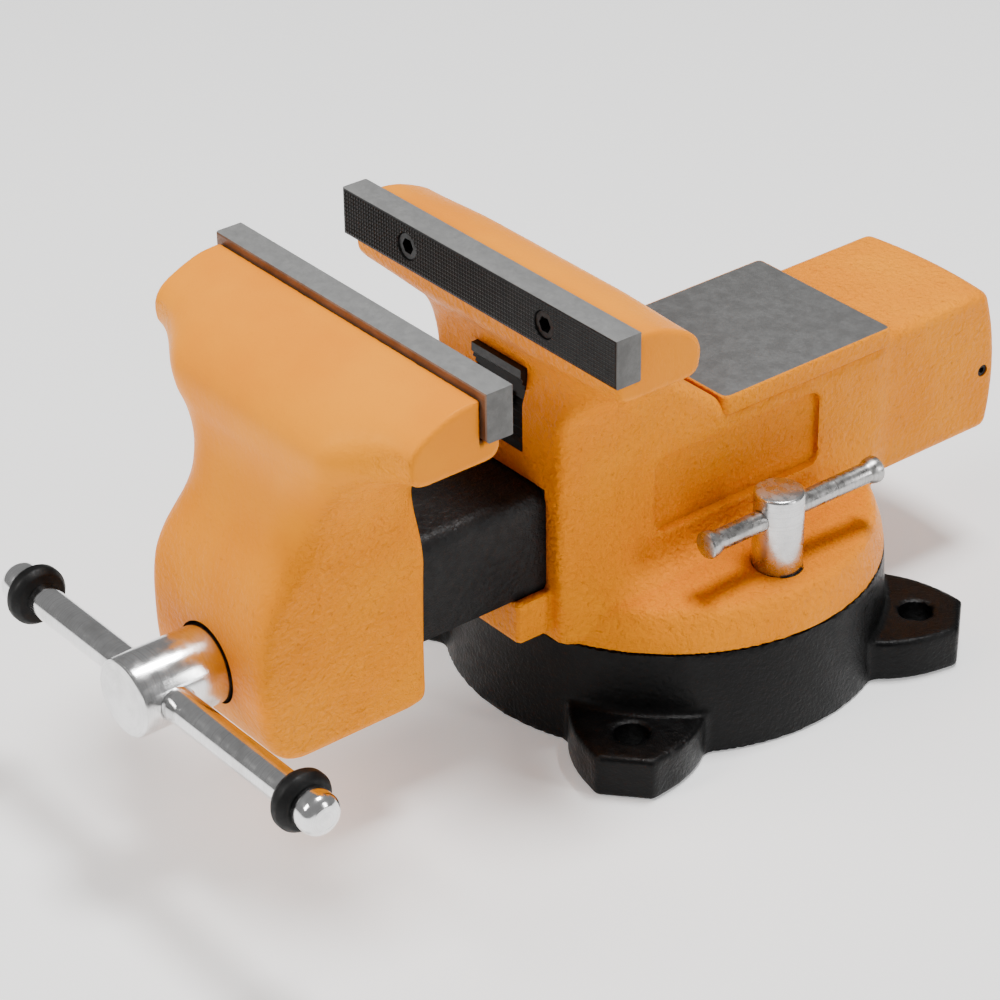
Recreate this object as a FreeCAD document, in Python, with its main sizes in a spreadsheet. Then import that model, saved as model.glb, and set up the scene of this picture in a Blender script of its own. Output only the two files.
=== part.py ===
import FreeCAD, Part
import math
import os

import Sketcher
from FreeCAD import Placement, Rotation, Vector

# Bench vise with a swivel base, in millimetres.  X runs across the jaws, Y along the
# screw (the handle is at -Y), Z is up.  The origin is the middle of the base's underside.

SIZES = {
    # jaw plates and where they stand
    "jaw_width": 203.0,
    "plate_height": 24.8,
    "plate_thickness": 15.6,
    "plate_bottom": 228.4,
    "plate_screw_pitch": 101.8,
    "clamp_plane": -122.4,
    "jaw_gap": 57.8,
    # plate screws
    "screw_head_radius": 6.5,
    "screw_head_length": 9.0,
    "screw_radius": 4.9,
    "screw_reach": 20.0,
    "screw_sink": 1.0,
    "hex_socket_radius": 4.2,
    "hex_socket_depth": 5.0,
    # castings: both heads
    "head_width": 196.0,
    "head_top": 249.0,
    "head_chin": 214.3,
    "head_depth": 38.8,
    "head_lip": 10.5,
    # moving jaw
    "column_width": 86.0,
    "column_neck": 180.0,
    "column_bottom": 57.5,
    "column_bulge": 85.8,
    "column_waist": 63.5,
    "column_rear": 7.3,
    "column_edge_radius": 8.0,
    # slide beam
    "beam_width": 70.0,
    "beam_bottom": 86.0,
    "beam_height": 54.5,
    "beam_wall": 10.0,
    "beam_edge_radius": 8.0,
    "beam_rear": 105.0,
    # screw and its bearing in the moving jaw
    "axis_height": 99.0,
    "thread_radius": 13.0,
    "journal_radius": 15.0,
    "spindle_radius": 19.5,
    "spindle_length": 65.0,
    "spindle_reach": 131.4,
    "spindle_mouth": 1.4,
    "thrust_washer_radius": 20.4,
    "thrust_washer_thickness": 3.0,
    "thrust_wall": 14.0,
    "collar_radius": 20.0,
    "collar_length": 11.8,
    "collar_pin_radius": 2.5,
    "screw_end": 100.0,
    # handle
    "bar_radius": 8.2,
    "bar_set_back": 17.2,
    "bar_left": 112.0,
    "bar_right": 126.0,
    "cap_radius": 10.4,
    "cap_length": 13.5,
    "cap_socket": 7.0,
    "spigot_radius": 5.2,
    "bumper_radius": 15.0,
    "bumper_thickness": 11.0,
    # static body
    "slab_front": -109.0,
    "slab_width": 96.0,
    "slab_shoulder": 184.0,
    "slope_start": -42.0,
    "nose_reach": 20.0,
    "nose_width": 79.0,
    "nose_bottom": 63.5,
    "nose_top": 85.0,
    "slab_foot": 59.5,
    "anvil_width": 98.8,
    "anvil_front": -7.4,
    "anvil_length": 113.8,
    "anvil_top": 160.0,
    "anvil_lip": 11.0,
    "tail_width": 90.0,
    "tail_bottom": 71.0,
    "tail_top": 153.5,
    "tail_end": 194.0,
    "tail_crown": 4.0,
    "tunnel_end": 165.5,
    "lower_tunnel_width": 44.0,
    "lower_tunnel_floor": 78.0,
    "panel_front": -50.0,
    "panel_length": 108.0,
    "panel_bottom": 99.0,
    "panel_height": 42.0,
    "panel_depth": 1.5,
    "set_screw_radius": 3.3,
    "set_screw_length": 10.0,
    "set_screw_place": 180.0,
    "set_screw_height": 107.0,
    "set_screw_socket": 1.9,
    "set_screw_socket_depth": 4.0,
    # flange of the static body
    "flange_radius": 111.0,
    "flange_top_radius": 103.0,
    "flange_edge": 77.0,
    "flange_neck": 84.0,
    # nut
    "nut_width": 36.0,
    "nut_length": 50.0,
    "nut_front": -95.0,
    "nut_floor": 66.0,
    "nut_top": 118.0,
    "nut_bolt_radius": 4.0,
    "nut_bolt_head": 7.0,
    "nut_bolt_pitch": 28.0,
    "nut_bolt_head_length": 4.7,
    "nut_bolt_length": 21.8,
    "nut_bolt_socket_depth": 3.0,
    "nut_bolt_sink": 6.0,
    "nut_bolt_hole": 12.0,
    "nut_tap_depth": 13.0,
    # pipe jaws
    "pipe_jaw_width": 37.2,
    "pipe_jaw_bottom": 155.0,
    "pipe_jaw_height": 44.0,
    "pipe_jaw_depth": 12.0,
    "pipe_jaw_proud": 0.6,
    "pipe_groove_depth": 8.0,
    "pipe_tooth": 1.2,
    "pipe_flank_margin": 3.0,
    "pipe_set_back": 2.6,
    "pipe_screw_radius": 3.5,
    "pipe_screw_head": 6.0,
    "pipe_screw_head_length": 3.6,
    "pipe_screw_sink": 3.4,
    "pipe_screw_reach": 19.0,
    "pipe_screw_socket": 2.4,
    # swivel base
    "ring_radius": 114.4,
    "base_height": 56.0,
    "ring_wall": 13.0,
    "slot_radius": 82.0,
    "slot_width": 14.0,
    "slot_lip": 12.0,
    "slot_head_width": 32.0,
    "slot_floor": 26.0,
    "floor_thickness": 12.0,
    "hub_wall": 10.0,
    "boss_radius": 24.0,
    "boss_bottom": 30.0,
    "lug_thickness": 22.8,
    "lug_end_radius": 152.0,
    "lug_end_width": 29.0,
    "lug_width": 64.0,
    "lug_shoulder_radius": 129.0,
    "lug_shoulder_round": 26.0,
    "lug_corner_round": 5.0,
    "bolt_circle_radius": 129.0,
    "bolt_hole_radius": 9.0,
    "base_turn": -48.5,
    # pivot and lock hardware
    "pivot_radius": 8.0,
    "pivot_head_radius": 13.0,
    "pivot_head_length": 10.0,
    "pivot_washer_radius": 16.0,
    "pivot_washer_thickness": 2.5,
    "pivot_reach": 75.0,
    "stud_radius": 6.0,
    "stud_top": 98.0,
    "tee_head_width": 24.0,
    "tee_head_length": 26.0,
    "tee_head_thickness": 12.0,
    "post_radius": 12.7,
    "post_bottom": 78.5,
    "post_top": 121.0,
    "post_washer_thickness": 2.0,
    "post_washer_radius": 13.6,
    "lock_bar_height": 108.0,
    "lock_bar_radius": 5.4,
    "lock_bar_front": 48.2,
    "lock_bar_rear": 66.1,
    "lock_knob_radius": 7.0,
    "lock_knob_length": 8.0,
    # clearances
    "running_clearance": 0.08,
    "slide_clearance": 0.25,
    "seat_clearance": 0.05,
    "swivel_clearance": 0.2,
    "hole_clearance": 0.3,
}

doc = FreeCAD.newDocument("bench_vise")
sheet = doc.addObject("Spreadsheet::Sheet", "Sizes")
for row, (alias, value) in enumerate(SIZES.items(), 1):
    sheet.set("A%d" % row, alias)
    sheet.set("B%d" % row, str(value))
    sheet.setAlias("B%d" % row, alias)
doc.recompute()


class Size:
    """A length that carries both its value and its formula on the sheet."""

    def __init__(self, formula, value):
        self.formula = formula
        self.value = value

    def combined(self, other, sign, value):
        return Size("(%s %s %s)" % (self.formula, sign, formula_of(other)), value)

    def __add__(self, other):
        return self.combined(other, "+", self.value + float(other))

    def __sub__(self, other):
        return self.combined(other, "-", self.value - float(other))

    def __mul__(self, other):
        return self.combined(other, "*", self.value * float(other))

    def __truediv__(self, other):
        return self.combined(other, "/", self.value / float(other))

    def __neg__(self):
        return Size("(0 - %s)" % self.formula, -self.value)

    def __float__(self):
        return float(self.value)


def formula_of(size):
    return size.formula if isinstance(size, Size) else repr(float(size))


def cell(alias):
    return Size("Sizes." + alias, float(sheet.get(alias)))


S = {alias: cell(alias) for alias in SIZES}

# Planes and places that several pieces share.
static_back = S["clamp_plane"] + S["plate_thickness"]
moving_face = S["clamp_plane"] - S["jaw_gap"]
moving_back = moving_face - S["plate_thickness"]
plate_middle = S["plate_bottom"] + S["plate_height"] / 2
spindle_front = moving_back - S["spindle_reach"]
spindle_shoulder = spindle_front + S["spindle_length"]
thrust_seat = spindle_shoulder + S["thrust_washer_thickness"]
thrust_inside = thrust_seat + S["thrust_wall"]
collar_front = thrust_inside + S["swivel_clearance"]
collar_rear = collar_front + S["collar_length"]
bar_axis = spindle_front + S["bar_set_back"]
beam_top = S["beam_bottom"] + S["beam_height"]
body_bottom = S["base_height"] + S["swivel_clearance"]
slot_inner = S["slot_radius"] - S["slot_width"] / 2
slot_outer = S["slot_radius"] + S["slot_width"] / 2
slot_roof = S["base_height"] - S["slot_lip"]
spot_face = S["post_bottom"] - S["post_washer_thickness"]
pipe_middle = S["pipe_jaw_bottom"] + S["pipe_jaw_height"] / 2
static_pipe_face = S["slab_front"] - S["pipe_jaw_proud"]
moving_pipe_face = moving_back + S["pipe_set_back"]

ALONG_Y = Rotation(Vector(1, 0, 0), -90)
ALONG_MINUS_Y = Rotation(Vector(1, 0, 0), 90)
ALONG_X = Rotation(Vector(0, 1, 0), 90)
UPRIGHT = Rotation()


# ---------------------------------------------------------------- sketches and features

def bind(target, path, size):
    """Give a property its value, and its formula when the size is on the sheet."""
    if isinstance(size, Size):
        target.setExpression(path, size.formula)


def new_body(label, place=(0, 0, 0), turn=UPRIGHT):
    """A body whose local origin stands at place, every coordinate bound to the sheet."""
    body = doc.addObject("PartDesign::Body", label)
    body.Label = label
    body.Placement = Placement(Vector(*[float(value) for value in place]), turn)
    for axis, value in zip("xyz", place):
        bind(body, "Placement.Base." + axis, value)
    return body


def new_sketch(body, plane, offset=0):
    """A sketch on one of the body's own origin planes, lifted by offset."""
    sketch = body.newObject("Sketcher::SketchObject", body.Name + "_sketch")
    support = [item for item in body.Origin.OriginFeatures if item.Role == plane][0]
    sketch.AttachmentSupport = [(support, "")]
    sketch.MapMode = "FlatFace"
    sketch.AttachmentOffset = Placement(Vector(0, 0, float(offset)), Rotation())
    bind(sketch, "AttachmentOffset.Base.z", offset)
    return sketch


def pin_point(sketch, geometry, point, place):
    """Fix one point of a sketch at a pair of coordinates."""
    for kind, value in zip(("DistanceX", "DistanceY"), place):
        name = "p%d" % sketch.ConstraintCount
        rule = Sketcher.Constraint(kind, -1, 1, geometry, point, float(value))
        index = sketch.addConstraint(rule)
        sketch.renameConstraint(index, name)
        bind(sketch, "Constraints." + name, value)


def polygon(body, plane, corners, offset=0):
    """A closed outline with straight sides."""
    sketch = new_sketch(body, plane, offset)
    count = len(corners)
    places = [Vector(float(x), float(y), 0) for x, y in corners]
    for index in range(count):
        line = Part.LineSegment(places[index], places[(index + 1) % count])
        sketch.addGeometry(line, False)
    for index in range(count):
        following = (index + 1) % count
        sketch.addConstraint(Sketcher.Constraint("Coincident", index, 2, following, 1))
    for index, corner in enumerate(corners):
        pin_point(sketch, index, 1, corner)
    return sketch


def circles(body, plane, rings, offset=0):
    """Whole circles, each given as a centre and a radius."""
    sketch = new_sketch(body, plane, offset)
    for index, (x, y, radius) in enumerate(rings):
        centre = Vector(float(x), float(y), 0)
        sketch.addGeometry(Part.Circle(centre, Vector(0, 0, 1), float(radius)), False)
        rule = Sketcher.Constraint("Radius", index, float(radius))
        number = sketch.addConstraint(rule)
        name = "r%d" % number
        sketch.renameConstraint(number, name)
        bind(sketch, "Constraints." + name, radius)
        pin_point(sketch, index, 3, (x, y))
    return sketch


def pad(body, sketch, length, midplane=False, down=False):
    feature = body.newObject("PartDesign::Pad", body.Name + "_pad")
    feature.Profile = sketch
    feature.Length = float(length)
    bind(feature, "Length", length)
    feature.Midplane = midplane
    feature.Reversed = down
    doc.recompute()
    return feature


def pocket(body, sketch, depth, midplane=False, up=False):
    """Cut a sketch away; the volume must fall, or the cut points out of the solid."""
    doc.recompute()
    before = body.Shape.Volume
    feature = body.newObject("PartDesign::Pocket", body.Name + "_pocket")
    feature.Profile = sketch
    feature.Length = float(depth)
    bind(feature, "Length", depth)
    feature.Midplane = midplane
    feature.Reversed = up
    doc.recompute()
    if not body.Shape.Volume < before:
        raise ValueError(body.Label + ": a pocket cuts nothing")
    return feature


def revolve(body, sketch):
    """Turn a sketch on the XZ plane about the body's own upright axis."""
    feature = body.newObject("PartDesign::Revolution", body.Name + "_turned")
    feature.Profile = sketch
    feature.ReferenceAxis = (sketch, ["V_Axis"])
    feature.Angle = 360
    doc.recompute()
    return feature


def edges_where(shape, test):
    return ["Edge%d" % number for number, edge in enumerate(shape.Edges, 1) if test(edge)]


def dress(body, kind, size, test):
    """Round or bevel the edges that pass a test."""
    base = body.Tip
    names = edges_where(base.Shape, test)
    feature = body.newObject("PartDesign::" + kind, body.Name + "_" + kind.lower())
    feature.Base = (base, names)
    path = "Radius" if kind == "Fillet" else "Size"
    setattr(feature, path, float(size))
    bind(feature, path, size)
    doc.recompute()
    return feature


def turned(label, profile, place=(0, 0, 0), turn=UPRIGHT):
    """A piece made on a lathe from (radius, length) corners."""
    body = new_body(label, place, turn)
    revolve(body, polygon(body, "XZ_Plane", profile))
    return body


def mirrored_pair(label, body):
    """One node that holds a body and its mirror image across the middle."""
    other = doc.addObject("Part::Mirroring", label + "_other")
    other.Source = body
    other.Normal = Vector(1, 0, 0)
    pair = doc.addObject("Part::Compound", label)
    pair.Label = label
    pair.Links = [body, other]
    return pair


def mirror_copy(label, body):
    """The left-hand twin of a right-hand piece."""
    other = doc.addObject("Part::Mirroring", label)
    other.Label = label
    other.Source = body
    other.Normal = Vector(1, 0, 0)
    return other


def feature_from(label, shape):
    """A casting whose shape is worked out from the sheet by Part's own functions."""
    feature = doc.addObject("Part::Feature", label)
    feature.Label = label
    feature.Shape = shape
    feature.Placement = Placement()
    return feature


# ------------------------------------------------------------- shapes for the castings

def vector(x, y, z):
    return Vector(float(x), float(y), float(z))


def cylinder(start, direction, radius, length):
    return Part.makeCylinder(float(radius), float(length), vector(*start), Vector(*direction))


def block(low, high):
    """A box from its lowest to its highest corner."""
    corner = vector(*low)
    size = vector(*high) - corner
    return Part.makeBox(size.x, size.y, size.z, corner)


def side_prism(points, width):
    """An outline in the YZ plane, spread evenly to both sides of the middle."""
    half = float(width) / 2
    places = [vector(-half, y, z) for y, z in points]
    face = Part.Face(Part.makePolygon(places + places[:1]))
    return face.extrude(Vector(2 * half, 0, 0))


def plan_prism(points, low, high):
    """An outline in the XY plane, raised from one height to another."""
    places = [vector(x, y, low) for x, y in points]
    face = Part.Face(Part.makePolygon(places + places[:1]))
    return face.extrude(Vector(0, 0, float(high) - float(low)))


def arc(a, b, c):
    return Part.Arc(a, b, c).toShape()


def line(a, b):
    return Part.LineSegment(a, b).toShape()


def head_section(x, back, outward, crown, brow, chin, heel):
    """A slice of a jaw head: flat top, round brow, chin, heel and the plate's ledge.

    Distances run outward from the plate's back; each of crown, brow, chin and heel is
    a list of (distance, height) points that its arc passes through.
    """
    def at(distance, height):
        return vector(x, float(back) + outward * float(distance), height)

    lip = -S["head_lip"]
    ledge = S["plate_bottom"]
    top_back = at(0, S["head_top"])
    crown_points = [at(*point) for point in crown]
    brow_points = [crown_points[2]] + [at(*point) for point in brow]
    heel_points = [at(*point) for point in heel]
    edges = [line(top_back, crown_points[0])]
    edges.append(arc(*crown_points))
    edges.append(arc(*brow_points))
    edges.append(line(brow_points[2], at(*chin)))
    edges.append(line(at(*chin), heel_points[0]))
    edges.append(arc(*heel_points))
    edges.append(line(heel_points[2], at(lip, ledge)))
    edges.append(line(at(lip, ledge), at(0, ledge)))
    edges.append(line(at(0, ledge), top_back))
    return Part.Wire(edges)


def end_section(x, back, outward):
    """The slice at either end of a head, a D on its back."""
    depth = S["head_depth"]
    top = S["head_top"]
    chin = S["head_chin"]
    lip = S["head_lip"]
    crown = [(6, top), (depth * 0.7, top - 6.5), (depth, top - 18)]
    brow = [(depth - 0.6, chin + 7), (depth - 6.4, chin)]
    heel = [(-(lip - 5.5), chin + 0.3), (-(lip - 1.3), chin + 2.8), (-lip, chin + 7)]
    return head_section(x, back, outward, crown, brow, (depth - 8, chin + 0.01), heel)


def loft(sections):
    return Part.makeLoft(sections, True, True)


def plate_screw_holes(back, outward):
    """Tapped holes behind a jaw plate."""
    holes = []
    for side in (-1, 1):
        start = (S["plate_screw_pitch"] * (side / 2), back, plate_middle)
        radius = S["screw_radius"] + S["seat_clearance"]
        depth = S["screw_reach"] + S["hole_clearance"] + 1
        holes.append(cylinder(start, (0, outward, 0), radius, depth))
    return holes


def pipe_pocket(face, outward):
    """The seat of a pipe jaw, open to the gap."""
    half = S["pipe_jaw_width"] / 2 + S["seat_clearance"]
    low = S["pipe_jaw_bottom"] - S["seat_clearance"]
    high = S["pipe_jaw_bottom"] + S["pipe_jaw_height"] + S["seat_clearance"]
    seat = float(face) + outward * float(S["pipe_jaw_depth"])
    mouth = float(face) - outward * 30
    near, far = sorted((seat, mouth))
    radius = S["pipe_screw_radius"] + S["seat_clearance"]
    depth = S["pipe_screw_reach"] - S["pipe_screw_head_length"] + S["hole_clearance"] * 3
    seat_hole = cylinder((0, seat, pipe_middle), (0, outward, 0), radius, depth)
    return [block((-half, near, low), (half, far, high)), seat_hole]


# ------------------------------------------------------------------------ the castings

def moving_jaw():
    """The front casting: a waisted column that flares into the wide head."""
    back = float(moving_back)
    neck = float(S["column_neck"])
    top = float(S["head_top"])
    half = float(S["column_width"]) / 2
    bulge = float(S["column_bulge"])
    lip = float(S["head_lip"])
    waist = float(S["column_waist"])
    crown = [(6, top), (42, top - 11.7), (waist - 6, top - 28)]
    brow = [(waist - 4.7, top - 40), (waist, neck)]
    heel = [(-1.5, neck), (-3.5, neck + 21), (-lip, neck + 41.3)]
    ends = float(S["head_width"]) / 2
    sections = [end_section(-ends, back, -1)]
    for x in (-half, half):
        chin = (waist - 2, neck - 0.01)
        sections.append(head_section(x, back, -1, crown, brow, chin, heel))
    sections.append(end_section(ends, back, -1))
    head = loft(sections)

    bottom = float(S["column_bottom"])
    rear = float(S["column_rear"])
    belly = [(waist, neck), (bulge - 7.3, neck - 29.5), (bulge, neck - 71)]
    shin = [(bulge, neck - 71), (bulge - 1.2, neck - 92), (bulge - 5, bottom + 12)]
    curves = []
    for points in (belly, shin):
        curves.append(arc(*[vector(-half, back - u, z) for u, z in points]))
    rear_points = [(bulge - 5, bottom + 12), (bulge - 11, bottom + 4.5), (3, bottom),
                   (-rear, bottom + 9),
                   (-rear, bottom + 42), (-rear + 2.3, neck - 43), (-1.5, neck),
                   (waist, neck)]
    places = [vector(-half, back - u, z) for u, z in rear_points]
    edges = curves + [line(a, b) for a, b in zip(places, places[1:])]
    column = Part.Face(Part.Wire(edges)).extrude(Vector(2 * half, 0, 0))
    upright = [edge for edge in column.Edges if edge.BoundBox.XLength < 0.01
               and edge.BoundBox.ZLength > 30 and edge.CenterOfMass.y < back - bulge / 2]
    column = column.makeFillet(float(S["column_edge_radius"]), upright)
    shape = head.fuse(column).removeSplitter()

    clear = S["seat_clearance"]
    beam_half = S["beam_width"] / 2 + clear
    inner = S["beam_width"] / 2 - S["beam_wall"]
    cuts = [
        cylinder((0, spindle_front, S["axis_height"]), (0, 1, 0),
                 S["spindle_radius"] + S["spindle_mouth"], thrust_seat - spindle_front),
        cylinder((0, spindle_front, S["axis_height"]), (0, 1, 0),
                 S["journal_radius"] + S["running_clearance"],
                 thrust_inside - spindle_front + 1),
        block((-beam_half, thrust_inside, S["beam_bottom"] - clear),
              (beam_half, moving_face, beam_top + clear)),
        block((-inner, thrust_inside, S["axis_height"] - S["collar_radius"] - 3),
              (inner, moving_face, S["beam_bottom"])),
    ]
    cuts += plate_screw_holes(moving_back, -1)
    cuts += pipe_pocket(moving_pipe_face, -1)
    return feature_from("moving_jaw", shape.cut(cuts))


def static_flange():
    """The round foot that turns on the base."""
    neck_radius = float(S["slab_width"]) / 2
    profile = [(0, body_bottom), (S["flange_radius"], body_bottom),
               (S["flange_top_radius"], S["flange_edge"]),
               (neck_radius, S["flange_neck"]), (0, S["flange_neck"])]
    places = [vector(radius, 0, height) for radius, height in profile]
    face = Part.Face(Part.makePolygon(places + places[:1]))
    return face.revolve(Vector(0, 0, 0), Vector(0, 0, 1), 360)


def static_head():
    """The rear head, which grows out of the slab's shoulders."""
    back = float(static_back)
    top = float(S["head_top"])
    shoulder = float(S["slab_shoulder"])
    slab = float(S["slab_width"]) / 2
    ends = float(S["head_width"]) / 2
    lip = float(S["head_lip"])
    front = back - float(S["slab_front"])
    slope = float(S["slope_start"]) - back
    crown = [(6, top), (30, top - 6), (42, top - 21)]
    brow = [(50, top - 44), (slope, shoulder)]
    heel = [(-front, shoulder), (-front - 2, shoulder + 20), (-lip, shoulder + 37.3)]
    sections = [end_section(-ends, back, 1)]
    for x in (-slab, slab):
        chin = (slope - 2, shoulder - 0.01)
        sections.append(head_section(x, back, 1, crown, brow, chin, heel))
    sections.append(end_section(ends, back, 1))
    return loft(sections)


def static_tail():
    """The long box behind the anvil, crowned at its end."""
    half = float(S["tail_width"]) / 2
    end = float(S["tail_end"])
    start = float(S["anvil_front"]) + 40
    crown = float(S["tail_crown"])
    low = float(S["tail_bottom"])
    high = float(S["tail_top"])
    plan = [line(vector(-half, start, low), vector(half, start, low)),
            line(vector(half, start, low), vector(half, end - crown, low)),
            arc(vector(half, end - crown, low), vector(0, end, low),
                vector(-half, end - crown, low)),
            line(vector(-half, end - crown, low), vector(-half, start, low))]
    box = Part.Face(Part.Wire(plan)).extrude(Vector(0, 0, high - low))
    middle = (low + high) / 2 - 8
    side = [line(vector(-half, start, low), vector(-half, end - 4, low)),
            arc(vector(-half, end - 4, low), vector(-half, end, middle),
                vector(-half, end - 11, high)),
            line(vector(-half, end - 11, high), vector(-half, start, high)),
            line(vector(-half, start, high), vector(-half, start, low))]
    profile = Part.Face(Part.Wire(side)).extrude(Vector(2 * half, 0, 0))
    shape = box.common(profile)
    long_edges = [edge for edge in shape.Edges
                  if edge.BoundBox.YLength > 100 and edge.BoundBox.XLength < 0.01]
    return shape.makeFillet(5, long_edges)


def static_cuts():
    """Everything that is machined or cored out of the static body."""
    slide = S["slide_clearance"]
    half = S["beam_width"] / 2 + slide
    front = S["slab_front"] - S["nose_reach"] - 5
    lower = S["lower_tunnel_width"] / 2
    nut_half = S["nut_width"] / 2 + S["seat_clearance"]
    clear = S["seat_clearance"]
    tunnel = block((-half, front, S["beam_bottom"] - slide),
                   (half, S["tunnel_end"], beam_top + slide))
    upper = [edge for edge in tunnel.Edges
             if edge.BoundBox.YLength > 100 and edge.BoundBox.ZMin > float(beam_top)]
    tunnel = tunnel.makeFillet(float(S["beam_edge_radius"]), upper)
    cuts = [
        tunnel,
        block((-lower, front, S["lower_tunnel_floor"]), (lower, S["tunnel_end"], S["axis_height"])),
        block((-nut_half, S["nut_front"] - clear, S["nut_floor"]),
              (nut_half, S["nut_front"] + S["nut_length"] + clear, S["axis_height"])),
        cylinder((0, 0, body_bottom - 1), (0, 0, 1), S["pivot_radius"] + clear,
                 S["pivot_reach"] - body_bottom + 2),
    ]
    for place in nut_bolt_places():
        start = (0, place, body_bottom - 1)
        cuts.append(cylinder(start, (0, 0, 1), S["nut_bolt_radius"] + clear,
                             S["nut_bolt_hole"]))
        cuts.append(cylinder(start, (0, 0, 1), S["nut_bolt_head"] + clear,
                             S["nut_bolt_sink"]))
    panel_end = S["panel_front"] + S["panel_length"]
    panel_top = S["panel_bottom"] + S["panel_height"]
    for side in (-1, 1):
        wall = float(S["slab_width"]) / 2 * side
        floor = wall - float(S["panel_depth"]) * side
        near, far = sorted((floor, wall + 5 * side))
        cuts.append(block((near, S["panel_front"], S["panel_bottom"]),
                          (far, panel_end, panel_top)))
        post = float(S["slot_radius"]) * side
        cuts.append(cylinder((post, 0, body_bottom - 1), (0, 0, 1),
                             S["stud_radius"] + S["hole_clearance"], 60))
        cuts.append(cylinder((post, 0, spot_face), (0, 0, 1),
                             S["post_washer_radius"] + S["hole_clearance"], 40))
        inner = (float(S["tail_width"]) / 2 - float(S["set_screw_length"]) - 1.5) * side
        cuts.append(cylinder((inner, S["set_screw_place"], S["set_screw_height"]),
                             (side, 0, 0), S["set_screw_radius"] + clear, 30))
    cuts += plate_screw_holes(static_back, 1)
    cuts += pipe_pocket(static_pipe_face, 1)
    return cuts


def nut_bolt_places():
    middle = S["nut_front"] + S["nut_length"] / 2
    return [middle - S["nut_bolt_pitch"] / 2, middle + S["nut_bolt_pitch"] / 2]


def static_body():
    """The rear casting: flange, slab, head, anvil and tail in one piece."""
    front = S["slab_front"]
    shoulder = S["slab_shoulder"]
    anvil_end = S["anvil_front"] + S["anvil_length"]
    lip_bottom = S["anvil_top"] - S["anvil_lip"]
    slab = side_prism([(front + 14, body_bottom), (front, S["slab_foot"]), (front, shoulder),
                       (S["slope_start"], shoulder),
                       (S["anvil_front"] - 2, S["anvil_top"] - 0.4),
                       (S["anvil_front"] + 6, lip_bottom + 2), (anvil_end, lip_bottom + 2),
                       (anvil_end, S["flange_neck"]), (anvil_end - 12, body_bottom)],
                      S["slab_width"])
    anvil = side_prism([(S["anvil_front"], lip_bottom), (anvil_end, lip_bottom),
                        (anvil_end, S["anvil_top"]), (S["anvil_front"], S["anvil_top"])],
                       S["anvil_width"])
    half = S["nose_width"] / 2
    nose_front = front - S["nose_reach"]
    nose = plan_prism([(-half, front + 5), (-half, nose_front + 6), (-half + 6, nose_front),
                       (half - 6, nose_front), (half, nose_front + 6), (half, front + 5)],
                      S["nose_bottom"], S["nose_top"])
    pieces = [static_flange(), static_head(), anvil, static_tail(), nose]
    shape = slab.fuse(pieces).removeSplitter().cut(static_cuts())
    return feature_from("static_body", shape)


# ------------------------------------------------------------------------ jaw hardware

def jaw_plate(label, face, turn):
    """A ground plate with two counterbored holes; local Z runs from its face inward."""
    body = new_body(label, (0, face, plate_middle), turn)
    half = S["jaw_width"] / 2
    tall = S["plate_height"] / 2
    corners = [(-half, -tall), (half, -tall), (half, tall), (-half, tall)]
    pad(body, polygon(body, "XY_Plane", corners), S["plate_thickness"])
    pitch = S["plate_screw_pitch"] / 2
    places = [(-pitch, 0), (pitch, 0)]
    bore = S["screw_radius"] + S["hole_clearance"]
    sink = S["screw_head_radius"] + S["hole_clearance"] * 1.5
    holes = circles(body, "XY_Plane", [(x, y, bore) for x, y in places])
    pocket(body, holes, S["plate_thickness"], up=True)
    sinks = circles(body, "XY_Plane", [(x, y, sink) for x, y in places])
    pocket(body, sinks, S["screw_sink"] + S["screw_head_length"], up=True)
    return body


def socket_screw(label, place, turn, head_radius, head_length, radius, length):
    """A socket screw; local Z runs from the head's face to the tip."""
    tip = head_length + length
    profile = [(0, 0), (head_radius, 0), (head_radius, head_length), (radius, head_length),
               (radius, tip - 1), (radius - 1, tip), (0, tip)]
    body = turned(label, profile, place, turn)
    socket = polygon(body, "XY_Plane", hexagon(S["hex_socket_radius"]))
    pocket(body, socket, S["hex_socket_depth"], up=True)
    return body


def hexagon(radius):
    """A hexagon's corners as formulas on the sheet."""
    corners = []
    for step in range(6):
        angle = math.radians(60 * step)
        corners.append((radius * round(math.cos(angle), 9), radius * round(math.sin(angle), 9)))
    return corners


def jaw_screws(label, face, direction, turn):
    head = face + S["screw_sink"] if direction > 0 else face - S["screw_sink"]
    pitch = S["plate_screw_pitch"] / 2
    length = S["plate_thickness"] - S["screw_sink"] - S["screw_head_length"]
    screw = socket_screw(label + "_right", (pitch, head, plate_middle), turn, S["screw_head_radius"],
                         S["screw_head_length"], S["screw_radius"],
                         length + S["screw_reach"])
    return mirrored_pair(label, screw)


def pipe_jaw(label, face, direction):
    """A block with a toothed V across its face, for round stock."""
    groove = float(S["pipe_groove_depth"])
    tooth = float(S["pipe_tooth"])
    tall = float(S["pipe_jaw_height"]) / 2
    depth = float(S["pipe_jaw_depth"])
    flank = tall - float(S["pipe_flank_margin"])
    steps = 12
    points = [(0.0, -tall), (0.0, -flank)]
    for step in range(1, 2 * steps):
        height = -flank + flank * step / steps
        fall = groove * (1 - abs(height) / flank)
        relief = 0.0 if step % 2 else tooth
        points.append((max(fall - tooth + relief, 0.0), height))
    points += [(0.0, flank), (0.0, tall), (depth, tall), (depth, -tall)]
    front = float(face)
    middle = float(pipe_middle)
    outline = [(front + direction * u, middle + v) for u, v in points]
    shape = side_prism(outline, S["pipe_jaw_width"])
    bore = S["pipe_screw_radius"] + S["hole_clearance"]
    hole = cylinder((0, front, middle), (0, direction, 0), bore, depth)
    sink_radius = S["pipe_screw_head"] + S["swivel_clearance"]
    sink_depth = S["pipe_groove_depth"] + S["swivel_clearance"]
    sink = cylinder((0, front, middle), (0, direction, 0), sink_radius, sink_depth)
    return feature_from(label, shape.cut([hole, sink]))


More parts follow.
